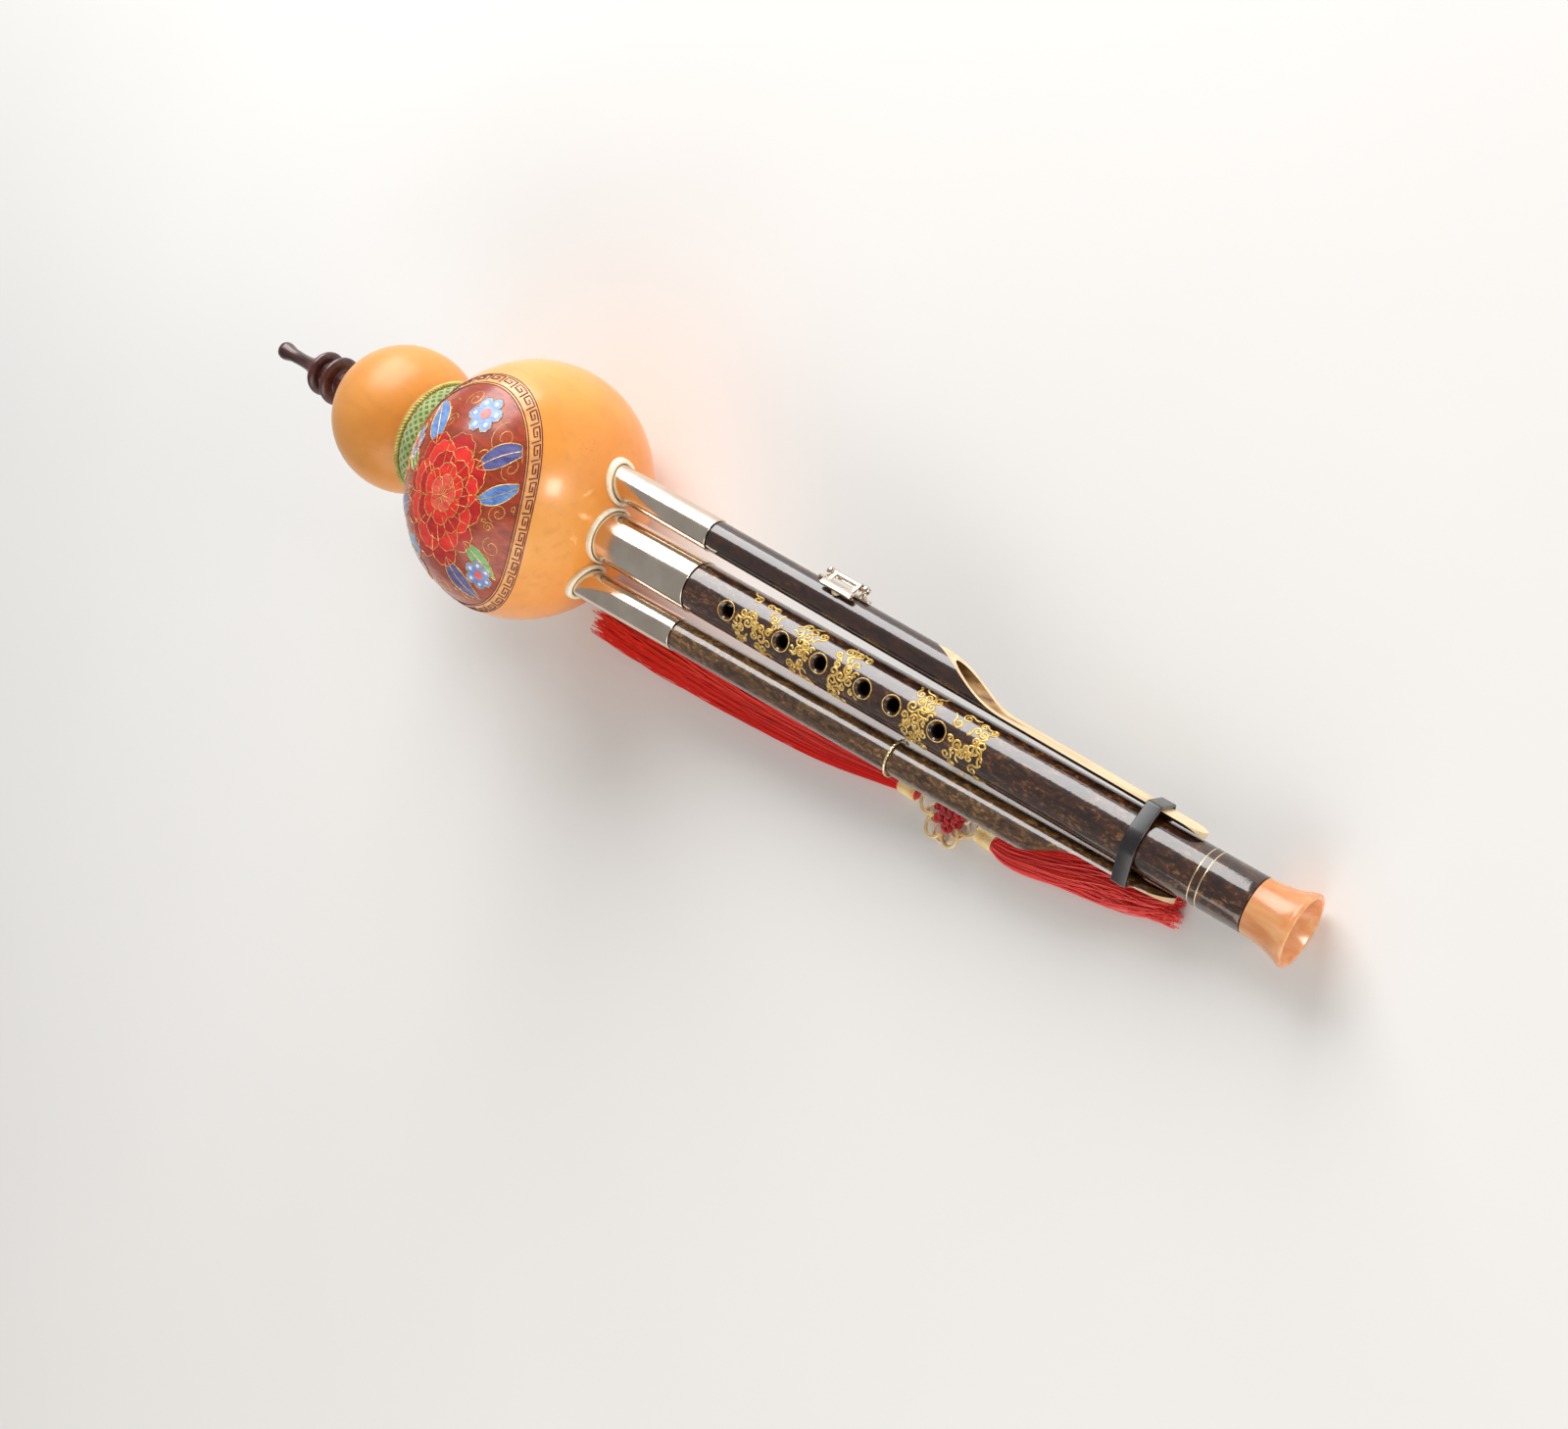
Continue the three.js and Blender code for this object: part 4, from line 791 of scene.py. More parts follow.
def gourd_outline(inset):
    """The gourd's side view from its neck to its foot, drawn in by an inset."""
    small = (SMALL_CENTRE, SMALL_HALF - inset, SMALL_RADIUS - inset)
    big = (BIG_CENTRE, BIG_HALF - inset, BIG_RADIUS - inset)
    waist = WAIST_RADIUS - inset
    rim = NECK_HOLE if inset else NECK_RIM
    start = -math.asin(math.sqrt(1 - (rim / small[2]) ** 2))
    near = arc(*small, start, math.acos(waist / small[2]), 40)
    far = arc(*big, -math.acos(waist / big[2]), math.radians(88.5), 72)
    return near[:-2] + eased([*near[-2:], *far[:2]], 2.5, closed=False) + far[2:]


def gourd():
    foot = 0.02
    outer, inner = gourd_outline(0), gourd_outline(GOURD_WALL)
    outer = [(NECK_FACE, 0.0), *outer, (outer[-1][0] + foot, 0.0)]
    inner = [(inner[0][0], 0.0), *inner, (inner[-1][0] + foot, 0.0)]
    cutters = [turned("hollow", inner, LAID, BORE),
               turned("neck", pin(NECK_FACE - 3, NECK_FACE + 9, NECK_HOLE), LAID, BORE, 64)]
    for place, radius in ((LAID, MAIN_RADIUS), (UPPER, DRONE_RADIUS), (LOWER, DRONE_RADIUS)):
        socket = pin(SOCKET_FROM, SOCKET_TO, radius + SOCKET_ROOM)
        cutters.append(turned("socket", socket, place, BORE, 64))
    shell = carved(turned("gourd", outer, LAID, GOURD, 160), *cutters)
    seated(smoothed(shell, 40), "gourd", "gourd", "gourd_shell")


def flange(name, place, radius, hole, node):
    """A low cream rim that follows the gourd round one pipe."""
    low, high, sides = -0.3, 1.65, 120
    section = eased([(hole, low), (hole, high), (radius, high), (radius, low)], 0.75)
    section = spaced(section, 0.5)
    inward = LAID.inverted() @ place
    ahead = inward.to_3x3() @ Vector((1, 0, 0))
    points = []
    for angle in round_about(sides):
        for reach, lift in section:
            spot = inward @ Vector((0, reach * math.sin(angle), reach * math.cos(angle)))
            size = (BIG_HALF + lift, BIG_RADIUS + lift, BIG_RADIUS + lift)
            start = Vector(((spot.x - BIG_CENTRE) / size[0], spot.y / size[1], spot.z / size[2]))
            run = Vector([part / length for part, length in zip(ahead, size)])
            lean, pull = start.dot(run), run.dot(run)
            reached = (math.sqrt(lean * lean - pull * (start.dot(start) - 1)) - lean) / pull
            points.append(spot + ahead * reached)
    rim = built(name, points, ring_faces(sides, len(section)), LAID, IVORY)
    seated(smoothed(rim, 50), "gourd", "ivory", node)


def ferrule(name, place, radius, end, node):
    inner, outer = radius - FERRULE_STEP, radius + FERRULE_STEP
    profile = [(FERRULE_SEAT, inner), (FERRULE_SEAT, outer), (end, outer), (end, inner)]
    seated(turned(name, eased(profile, 0.3), place, NICKEL), "gourd", "nickel", node)


def waist_binding():
    half, inner, outer = 3.0, WAIST_RADIUS + 0.3, WAIST_RADIUS + 1.9
    near, far = WAIST_MIDDLE - half, WAIST_MIDDLE + half
    crown = [(lerp(near, far, s), lerp(inner + 0.8, outer, math.sin(s * math.pi) ** 0.5))
             for s in steps(24)]
    band = turned("waist_ribbon", [(near, inner), *crown, (far, inner)], LAID, RIBBON, 160)
    seated(band, "gourd", "binding", "waist_band")
    reach = WAIST_RADIUS + 1.3
    for side, label in ((-1, "neck_side"), (1, "pipe_side")):
        ring = circle(WAIST_MIDDLE + side * (half + 1.3), reach, 240)
        trim = roped(f"waist_cord_{label}", [ring], LAID, TRIM_THREAD, 1.0, 18, closed=True,
                     plies=3, groove=0.34, pitch=2 * math.pi * reach / 36)
        seated(trim, "gourd", "gold_thread", f"waist_trim_{label}")


# Medallion: a round of traditional flower work on the front of the large bulb

MEDALLION_REACH = (math.radians(50), math.radians(65))
MEDALLION_TILT = math.radians(9)
MEDALLION_FIELD = 0.865


def on_gourd(p, q, lift):
    """A point of the unit disc laid on the front of the gourd's large bulb."""
    reach, turn = math.hypot(p, q), math.atan2(q, p)
    swing = reach * lerp(*MEDALLION_REACH, math.sin(turn) ** 2)
    along, across = math.sin(swing) * math.cos(turn), math.sin(swing) * math.sin(turn)
    up = math.cos(swing)
    cosine, sine = math.cos(MEDALLION_TILT), math.sin(MEDALLION_TILT)
    across, up = across * cosine - up * sine, across * sine + up * cosine
    half, radius = BIG_HALF + lift, BIG_RADIUS + lift
    return (BIG_CENTRE + half * along, radius * across, radius * up)


def polar(reach, turn, centre=(0, 0)):
    return (centre[0] + reach * math.cos(turn), centre[1] + reach * math.sin(turn))


def disc(centre, radius, cuts):
    return [polar(radius, a, centre) for a in round_about(cuts)]


def kept_in(outline):
    """Keeps an outline inside the medallion's border."""
    limit = MEDALLION_FIELD - 0.025
    return [(p, q) if math.hypot(p, q) < limit else polar(limit, math.atan2(q, p))
            for p, q in outline]


def lobed(centre, reach, count, turn, depth=0.2):
    """A ring of ruffled petals as one outline."""
    outline = []
    for angle in round_about(18 * count):
        swell = abs(math.cos(count * angle / 2)) ** 0.5 + 0.07 * math.cos(4 * count * angle)
        outline.append(polar(reach * (1 - depth + depth * swell), angle + turn, centre))
    return kept_in(outline)


def leaf(base, turn, length, width, bend):
    """A pointed leaf's outline and its middle vein."""
    cuts, vein, sides = 16, [base], ([], [])
    for share in steps(cuts)[1:]:
        vein.append(polar(length / cuts, turn + bend * share, vein[-1]))
    for k, share in enumerate(steps(cuts)):
        heading = turn + bend * share + math.pi / 2
        reach = width * math.sin(math.pi * share) ** 0.85 * (1.15 - 0.4 * share)
        if 0 < k < cuts:
            sides[0].append(polar(reach, heading, vein[k]))
            sides[1].append(polar(-reach, heading, vein[k]))
    return kept_in([base, *sides[0], vein[-1], *reversed(sides[1])]), vein


def curl(centre, radius, turn, hand, turns=1.5, cuts=30):
    """A spiral that winds in to its centre."""
    return [polar(radius * (1 - 0.85 * s), turn + hand * turns * 2 * math.pi * s, centre)
            for s in steps(cuts)]


def meander(units, inner, outer):
    """The border's key pattern, as lines of (turn, reach) corners."""
    low, high = lerp(inner, outer, 0.2), lerp(inner, outer, 0.8)
    near, far = lerp(low, high, 0.32), lerp(low, high, 0.68)
    corners = ((0.06, low), (0.06, high), (0.84, high), (0.84, near), (0.34, near), (0.34, far),
               (0.6, far))
    return [[((unit + share) * 2 * math.pi / units, reach) for share, reach in corners]
            for unit in range(units)]


def dense(corners, step):
    """Points along a line of (turn, reach) corners, close enough to follow the surface."""
    line = []
    for (turn_a, reach_a), (turn_b, reach_b) in zip(corners, corners[1:]):
        length = math.hypot((turn_b - turn_a) * reach_a, reach_b - reach_a)
        parts = max(1, math.ceil(length / step))
        line += [(lerp(turn_a, turn_b, k / parts), lerp(reach_a, reach_b, k / parts))
                 for k in range(parts)]
    return [*line, corners[-1]]


def traced(outline, lift, thickness=1.0, taper=0.0):
    """A drawn line on the gourd, at full thickness or tapering to its end."""
    last = len(outline) - 1
    return [(*on_gourd(p, q, lift), thickness * (1 - taper * i / last))
            for i, (p, q) in enumerate(kept_in(outline))]


def medallion():
    def laid(name, outlines, level, finish):
        sunk, spacing = -0.3, 0.055
        plate = plated(name, outlines, on_gourd, sunk, level, LAID, finish, spacing)
        seated(plate, "gourd", "gourd")

    def drawn(name, lines, finish, radius, closed=True):
        seated(roped(name, lines, LAID, finish, radius, 6, closed), "gourd", "gourd")

    field = MEDALLION_FIELD
    laid("medallion_border", [disc((0, 0), 1.0, 160)], 0.05, BORDER_TAN)
    laid("medallion_ground", [disc((0, 0), field, 140)], 0.09, GROUND)
    edges = [[(*on_gourd(p, q, 0.02), weight) for p, q in disc((0, 0), reach, 180)]
             for reach, weight in ((0.995, 1.7), (field + 0.006, 1.6), (field + 0.024, 0.8))]
    drawn("medallion_edges", edges, KEY_RED, 0.2)
    keys = [[on_gourd(*polar(reach, turn), 0.0) for turn, reach in dense(line, 0.03)]
            for line in meander(38, field + 0.024, 1.0)]
    drawn("medallion_key", keys, KEY_RED, 0.27, closed=False)

    # one peony with its rings of petals, from the widest down to the heart
    peony = (0.08, 0.02)
    rings = [((peony[0] + p, peony[1] + q), reach, count, turn) for p, q, reach, count, turn in (
        (0, 0, 0.47, 9, 0.1), (0.015, 0.02, 0.385, 8, 0.5), (0.03, 0.035, 0.3, 7, 0.2),
        (0.04, 0.05, 0.215, 6, 0.7), (0.045, 0.06, 0.135, 5, 0.3))]
    petals = [lobed(*ring) for ring in rings]
    for i, finish in enumerate((CRIMSON, VERMILION, CRIMSON, VERMILION, ROSE)):
        laid(f"peony_ring_{i + 1}", [petals[i]], 0.27 + 0.05 * i, finish)

    leaves, veins = {"blue": [], "violet": [], "green": []}, []
    for colour, turn, length, width, bend in (
        ("blue", 0.35, 0.42, 0.085, 0.5), ("violet", 0.95, 0.46, 0.09, -0.5),
        ("blue", 2.2, 0.5, 0.1, 0.6), ("green", 2.85, 0.46, 0.08, -0.5),
        ("violet", 3.5, 0.5, 0.1, 0.5), ("blue", 4.15, 0.44, 0.09, -0.6),
        ("violet", 5.0, 0.44, 0.09, 0.5), ("green", 5.65, 0.4, 0.075, -0.4),
    ):
        outline, vein = leaf(polar(0.4, turn, peony), turn, length, width, bend)
        leaves[colour].append(outline)
        veins.append(traced(vein[:-1], 0.21, 0.9, 0.8))
    for colour, finish in (("blue", SKY), ("violet", INDIGO), ("green", JADE)):
        laid(f"leaves_{colour}", leaves[colour], 0.23, finish)

    small, hearts, dots = [], [], []
    for p, q, reach in ((-0.56, 0.3, 0.15), (-0.28, -0.62, 0.15), (0.5, -0.48, 0.13),
                        (0.1, 0.66, 0.14)):
        small.append(lobed((p, q), reach, 6, 0.3, 0.34))
        hearts.append(disc((p, q), 0.3 * reach, 16))
        dots += [disc(polar(0.66 * reach, 0.3 + a, (p, q)), 0.016, 10) for a in round_about(6)]
    laid("posies", small, 0.26, SKY)
    laid("posy_hearts", hearts, 0.32, ROSE)
    laid("pearl_dots", dots, 0.3, PEARL)

    lines = [traced(outline, 0.24 + 0.05 * i) for i, outline in enumerate(petals)]
    lines += [traced(outline, 0.2) for colour in leaves.values() for outline in colour]
    lines += [traced(outline, 0.23) for outline in small]
    drawn("medallion_lines", lines, GILDING, 0.15)
    for i, (centre, reach, count, turn) in enumerate(rings):
        for k in range(count):
            heading = turn + (2 * k + 1) * math.pi / count
            fold = [polar(reach * lerp(0.78, 0.5, s), heading, centre) for s in steps(4)]
            veins.append(traced(fold, 0.25 + 0.05 * i, 0.9, 0.6))
    for k, angle in enumerate(round_about(11)):
        spot = polar(0.028 * (0.4 + 0.6 * (k % 2)), angle, rings[-1][0])
        veins.append(traced([spot, polar(0.05, angle, spot)], 0.49, 1.1))
    for p, q, reach, turn, hand in (
        (-0.32, 0.56, 0.13, 1.0, 1), (-0.1, 0.72, 0.08, 4.0, -1), (0.38, 0.6, 0.12, 2.0, 1),
        (0.6, 0.46, 0.09, 5.0, -1), (-0.68, 0.02, 0.11, 0.4, 1), (-0.66, -0.28, 0.1, 2.4, -1),
        (-0.5, -0.52, 0.1, 1.2, 1), (0.04, -0.68, 0.1, 3.3, -1), (0.3, -0.7, 0.08, 0.2, 1),
        (0.68, -0.22, 0.09, 1.8, 1), (0.7, 0.1, 0.09, 4.4, -1), (-0.4, 0.02, 0.07, 2.0, 1),
        (-0.74, 0.2, 0.06, 3.0, -1), (0.64, -0.04, 0.05, 0.0, 1), (-0.16, 0.52, 0.06, 0.5, 1),
    ):
        veins.append(traced(curl((p, q), reach, turn, hand), 0.03, 1.4, 0.5))
        shoot = curl(polar(1.5 * reach, turn + 2.4, (p, q)), 0.5 * reach, turn + 1.0, -hand, 1.1)
        veins.append(traced(shoot, 0.03, 1.2, 0.5))
    drawn("medallion_veins", veins, GILDING, 0.15, closed=False)


# Pipes


def pipe_blank(name, place, radius, hollow, ferrule_end, end, finish, inside, sides):
    """A pipe before its cuts, with one finish outside and another in its bore."""
    outer = radius - FERRULE_STEP - TENON_GAP
    start = ferrule_end - TENON_LENGTH
    middle = (start + ferrule_end) / 2
    near, far, shoulder = middle - LAPPING_HALF, middle + LAPPING_HALF, ferrule_end + 0.3
    outside = [(start, outer), (near, outer), (near, outer - LAPPING_DEPTH),
               (far, outer - LAPPING_DEPTH), (far, outer), (shoulder, outer), (shoulder, radius),
               (end, radius), (end, hollow), (start, hollow)]
    blank = turned(name, spaced(eased(outside, 0.25), 1.6), place, finish, sides)
    blank.data.materials.append(inside)
    home = place.inverted()
    for face in blank.data.polygons:
        spot = home @ face.center
        face.material_index = 1 if math.hypot(spot.y, spot.z) < hollow + 0.02 else 0
    return blank


def drill(place, radius, pipe_radius, finish=None):
    """A drill for one hole, with a dished mouth where a finish for the dish is given."""
    upright = place @ UPRIGHT
    top = pipe_radius + 3
    profile = pin(0.3, top, radius)
    if not finish:
        return turned("drill", profile, upright, BORE, 48)
    slope = (DISH_RADIUS - HOLE_RADIUS) / DISH_DEPTH
    level = pipe_radius - DISH_DEPTH
    profile[2:3] = [(level, radius), (top, radius + slope * (top - level))]
    plug = turned("drill", profile, upright, BORE, 48)
    plug.data.materials.append(finish)
    tip = upright @ Vector((level, 0, 0))
    up = (upright.to_3x3() @ Vector((1, 0, 0))).normalized()
    for face in plug.data.polygons:
        face.material_index = 1 if (face.center - tip).dot(up) > 1e-5 else 0
    return plug


def main_pipe():
    pipe = pipe_blank("melody_pipe", LAID, MAIN_RADIUS, MAIN_BORE, MAIN_FERRULE, PIPE_END,
                      BURL_MAIN, BORE, 120)
    cutters = []
    for along in FINGER_HOLES + [THUMB_HOLE] + VENT_HOLES:
        place = LAID @ along_by(along)
        if along not in FINGER_HOLES:
            place = place @ Matrix.Rotation(math.pi, 4, "X")
        dish = None if along in VENT_HOLES else BURL_MAIN
        cutters.append(drill(place, HOLE_RADIUS, MAIN_RADIUS, dish))
    pipe = carved(pipe, *cutters)
    seated(smoothed(pipe), "main_pipe", "pipe", "main_pipe")

    def on_pipe(along, around, lift):
        angle, reach = around / MAIN_RADIUS, MAIN_RADIUS + lift
        return (along, reach * math.sin(angle), reach * math.cos(angle))

    rims = [[on_pipe(*spot, -0.06) for spot in disc((along, 0), HOLE_RIM, 64)]
            for along in FINGER_HOLES]
    seated(roped("hole_rims", rims, LAID, GILDING, 0.2, closed=True), "main_pipe", "pipe")
    rings = [circle(along, MAIN_RADIUS - 0.1, 120) for along in RINGS]
    seated(roped("pipe_rings", rings, LAID, WIRE, 0.2, closed=True), "main_pipe", "pipe")
    chance = random.Random(11)
    strokes = []

    def stroke(line, weight):
        """One engraved line that swells in the middle, kept clear of the holes."""
        runs = [[]]
        for share, (along, around) in zip(steps(len(line) - 1), line):
            if all(math.hypot(along - hole, around) > HOLE_CLEAR for hole in FINGER_HOLES):
                swell = 0.35 + math.sin(math.pi * share) ** 0.8
                runs[-1].append((*on_pipe(along, around, -0.2), weight * swell))
            elif runs[-1]:
                runs.append([])
        strokes.extend(run for run in runs if len(run) > 2)

    # cloud scrolls crowd together between the holes and thin out round the pipe's sides
    for start, end in ((61.5, 76.0), (83.6, 91.6), (98.8, 108.6), (127.2, 136.4), (143.8, 155.5)):
        columns = max(2, round((end - start) / 2.9))
        for column in range(columns):
            for row in range(-3, 4):
                missed, weight = (0.12, 1.15) if abs(row) < 2 else (0.34, 0.85)
                if chance.random() < missed:
                    continue
                share = (column + 0.5 + 0.4 * (row % 2)) / columns
                along = lerp(start, end, share) + chance.uniform(-0.5, 0.5)
                around = 2.7 * row + chance.uniform(-0.5, 0.5)
                size, turn = chance.uniform(1.1, 1.9), chance.uniform(0, 2 * math.pi)
                hand, turns = chance.choice((-1, 1)), chance.uniform(1.0, 1.7)
                stroke(curl((along, around), size, turn, hand, turns, 26), weight)
                tail = polar(size, turn, (along, around))
                heading = turn - hand * math.pi / 2
                bend = [polar(s * size * 1.5, heading + hand * 0.8 * s, tail) for s in steps(8)]
                stroke(bend, 0.8)
    engraving = roped("pipe_engraving", strokes, LAID, GILDING, 0.42, 7)
    seated(engraving, "main_pipe", "pipe")


def horn():
    start, end, seat = PIPE_END + 0.3, PIPE_END + HORN_LENGTH, MAIN_BORE - 0.3
    lip = 1.2

    def flared(to, near, far):
        return [(lerp(start, to, s), lerp(near, far, s ** 2.2)) for s in steps(28)]

    profile = [(start - HORN_TENON, HORN_BORE), (start - HORN_TENON, seat), (start, seat),
               *flared(end - lip, MAIN_RADIUS, HORN_RIM), (end, HORN_RIM),
               *reversed(flared(end, HORN_BORE, HORN_RIM - lip))]
    bell = turned("horn_bell", eased(profile, 0.35), LAID, HORN, 128)
    seated(bell, "horn", "horn", "horn")


def drone(name, side, quill, finish, node, extra=()):
    place = drone_place(side)
    pipe = pipe_blank(name, place, DRONE_RADIUS, DRONE_BORE, DRONE_FERRULE, DRONE_LENGTH, finish,
                      PALE_BORE, 80)
    facing = place @ Matrix.Rotation(-side * quill["facing"], 4, "X")
    floor, top = QUILL_THICKNESS - DRONE_RADIUS, DRONE_RADIUS + 3
    start, end = quill["start"] * DRONE_LENGTH, DRONE_LENGTH + 3
    curve = [(start + s * quill["run"], lerp(floor, DRONE_RADIUS, (1 + math.cos(s * math.pi)) / 2))
             for s in steps(48)]
    outline = [(start, top), *curve, (end, floor), (end, top)]
    away = prism("away", outline, facing, QUILL, -top, top)
    width = math.sqrt(DRONE_RADIUS ** 2 - (DRONE_RADIUS - QUILL_THICKNESS) ** 2)
    base = DRONE_LENGTH - quill["tip"]
    outline = [(base, -top), (end, -top), (end, top), (base, top),
               *arc(base, quill["tip"], width, 0, math.pi, 32)]
    tip = prism("tip", outline, facing, QUILL, -top, top, axis=2)
    groove = [(start + 1, 0.0), (start + 1, 2.9), (start + 5, GROOVE_RADIUS),
              (start + 22, GROOVE_RADIUS), (start + 40, 3.3), (start + 40, 0.0)]
    pipe = carved(pipe, away, tip, turned("groove", groove, place, PALE_BORE, 64), *extra)
    seated(smoothed(pipe), "upper_drone" if side > 0 else "lower_drone", "pipe", node)


def clamp_band():
    """A strap drawn tight round the melody pipe and the edges of both quills."""
    spacing = DRONE_SPACING - (BAND_FROM + DRONE_SETBACK) * math.tan(DRONE_LEAN)
    level = QUILL_THICKNESS - DRONE_RADIUS
    half = math.sqrt(DRONE_RADIUS ** 2 - level ** 2)
    corners = []
    for side, quill in ((1, UPPER_QUILL), (-1, LOWER_QUILL)):
        sine, cosine = math.sin(quill["facing"]), math.cos(quill["facing"])
        for reach in (-half, half):
            corners.append(Vector((side * (spacing + level * sine + reach * cosine),
                                   level * cosine - reach * sine)))
    inset, turns = 0.25, 300
    top, far = BAND_CLEAR + BAND_THICKNESS, BAND_WIDTH - inset
    section = [(inset, BAND_CLEAR), (inset, top), (far, top), (far, BAND_CLEAR)]
    section = eased(section, 0.4)
    points = []
    for angle in round_about(turns):
        normal = Vector((math.cos(angle), math.sin(angle)))
        base = max([MAIN_RADIUS * normal, *corners], key=lambda spot: spot.dot(normal))
        points += [(BAND_FROM + along, *(base + normal * lift)) for along, lift in section]
    band = built("strap", points, ring_faces(turns, len(section)), LAID, LEATHER)
    seated(smoothed(band, 50), "band", "leather", "clamp_band")


# Mouthpiece

MOUTHPIECE_LENGTH, MOUTHPIECE_BORE, NEAR_BEAD, FAR_BEAD, STEM_FROM = 46, 1.5, 12.8, 20.8, 26.8
MOUTH_TENON, CORK_SEAT, CORK_FROM, CORK_TO, TENON_TO = 5.4, 4.7, 2.5, 8.5, 11


def mouthpiece():
    base = NECK_FACE - 0.3
    tip, stem = base - MOUTHPIECE_LENGTH, base - STEM_FROM

    def bead(middle, radius):
        return [(middle + 2 * math.sin(a), lerp(5.0, radius, math.cos(a) ** 0.8))
                for a in (lerp(-math.pi / 2, math.pi / 2, s) for s in steps(16))]

    def between(start, end, *stops):
        return [(lerp(start, end, share), radius) for share, radius in stops]

    profile = [
        (tip, MOUTHPIECE_BORE),
        *between(tip, stem, (0, 3.2), (0.08, 3.4), (0.16, 3.15), (0.3, 2.5), (0.55, 2.42),
                 (0.78, 2.6), (1, 3.5)),
        *bead(base - FAR_BEAD, 8.3), *bead(base - NEAR_BEAD, 9.1),
        *between(base - NEAR_BEAD, base, (0.6, 5.0), (0.74, 5.4), (0.88, 6.5), (1, 7.4)),
        *((base + along, radius) for along, radius in (
            (0, MOUTH_TENON), (CORK_FROM, MOUTH_TENON), (CORK_FROM, CORK_SEAT),
            (CORK_TO, CORK_SEAT), (CORK_TO, MOUTH_TENON), (TENON_TO, MOUTH_TENON),
            (TENON_TO, MOUTHPIECE_BORE))),
    ]
    stick = turned("mouthpiece_turned", eased(profile, 0.5), LAID, ROSEWOOD)
    seated(stick, "mouthpiece", "rosewood", "mouthpiece")


# Drone key


def key():
    half = KEY_LENGTH / 2
    start, end = KEY_MIDDLE - half, KEY_MIDDLE + half
    seat = DRONE_RADIUS + KEY_SEAT
    outer = seat + KEY_PLATE
    span = math.radians(17) * outer
    rod_place = KEY @ Matrix.Translation((0, KEY_ACROSS, KEY_UP))

    def on_drone(along, around, reach):
        angle = KEY_ROD_ANGLE + around / outer
        return (along, reach * math.sin(angle), reach * math.cos(angle))

    pad_space = Vector((KEY_MIDDLE, -KEY_ROD_ANGLE * outer))
    plan = []
    for angle in round_about(64):
        x, y = math.cos(angle), math.sin(angle)
        reach = (abs(x) ** 5 + abs(y) ** 5) ** -0.2
        spot = (KEY_MIDDLE + half * x * reach, span * y * reach)
        if (Vector(spot) - pad_space).length > KEY_PAD + 0.4:
            plan.append(spot)
    plate = plated("key_plate", [plan], on_drone, seat, outer, KEY, NICKEL, 0.9)
    ball = arc(KEY_ROD_REACH, KEY_BALL, KEY_BALL, -0.95, math.pi / 2, 16)
    post = [(seat + 0.2, 0.0), (seat + 0.2, 1.3), (outer + 0.25, 1.25), (outer + 0.6, 0.8),
            *ball[:-1], (ball[-1][0], 0.0)]
    turn = KEY @ Matrix.Rotation(-KEY_ROD_ANGLE, 4, "X")
    posts = [turned("post", post, turn @ along_by(along) @ UPRIGHT, NICKEL, 32)
             for along in (start + KEY_POST_INSET, end - KEY_POST_INSET)]
    plate = carved(plate, *posts, operation="UNION")
    plate = carved(plate, turned("hole", pin(start, end, KEY_PIN_HOLE), rod_place, NICKEL, 32))
    seated(smoothed(plate, 40), "upper_drone", "nickel", "key_saddle")

    near, far = start + KEY_POST_INSET - KEY_BALL, end - KEY_POST_INSET + KEY_BALL
    cut = 0.15
    rod = [(near, 0.0), (near, KEY_PIN - cut), (near + cut, KEY_PIN), (far - cut, KEY_PIN),
           (far, KEY_PIN - cut), (far, 0.0)]
    seated(turned("key_pin", rod, rod_place, NICKEL, 32), "upper_drone", "nickel", "key_rod")

    reach = half - KEY_POST_INSET - KEY_BALL - 0.3
    low, high = KEY_MIDDLE - reach, KEY_MIDDLE + reach
    collars = [(low, 0.9), (low, KEY_COLLAR), (low + 0.8, KEY_COLLAR), (low + 1.1, KEY_BARREL),
               (high - 1.1, KEY_BARREL), (high - 0.8, KEY_COLLAR), (high, KEY_COLLAR), (high, 0.9)]
    barrel = turned("key_barrel", eased(collars, 0.12), rod_place, NICKEL, 40)
    seated(barrel, "key", "nickel", "key_lever")

    bottom = seat + KEY_PAD_THICKNESS + 0.3
    long, wide, neck = 6.2, 1.2, 1.3

    def crowned(along, across, lift):
        """The flap's own surface, with a low crown along its middle."""
        crown = max(0.0, 1 - (across / wide) ** 2)
        crown *= max(0.0, 1 - ((along - KEY_MIDDLE) / long) ** 6)
        return (along, across, bottom + lift + (0.35 * crown if lift > 0 else 0))

    flap = [(-long, -wide), (long, -wide), (long, wide), (reach, wide), (reach, KEY_ACROSS),
            (reach - neck, KEY_ACROSS), (reach - neck, wide), (neck - reach, wide),
            (neck - reach, KEY_ACROSS), (-reach, KEY_ACROSS), (-reach, wide), (-long, wide)]
    flap = [(KEY_MIDDLE + along, across) for along, across in eased(flap, 1.1)]
    lever = plated("key_flap", [spaced(flap, 0.8)], crowned, 0.0, 0.8, KEY, NICKEL, 0.6)
    soft = lever.modifiers.new("soft_edges", "BEVEL")
    soft.width, soft.segments = 0.00018, 2
    soft.limit_method, soft.angle_limit = "ANGLE", math.radians(50)
    seated(smoothed(baked(lever), 60), "key", "nickel")
    rim = KEY_PAD - 0.3
    pad = [(seat, 0.0), (seat, rim - 0.2), (seat + 0.2, rim), (bottom - 0.3, rim),
           (bottom - 0.1, rim - 0.1), (bottom - 0.1, 0.0)]
    cushion = turned("key_cushion", pad, KEY @ along_by(KEY_MIDDLE) @ UPRIGHT, PAD_LEATHER, 48)
    seated(cushion, "key", "leather", "key_pad")


# Tassel


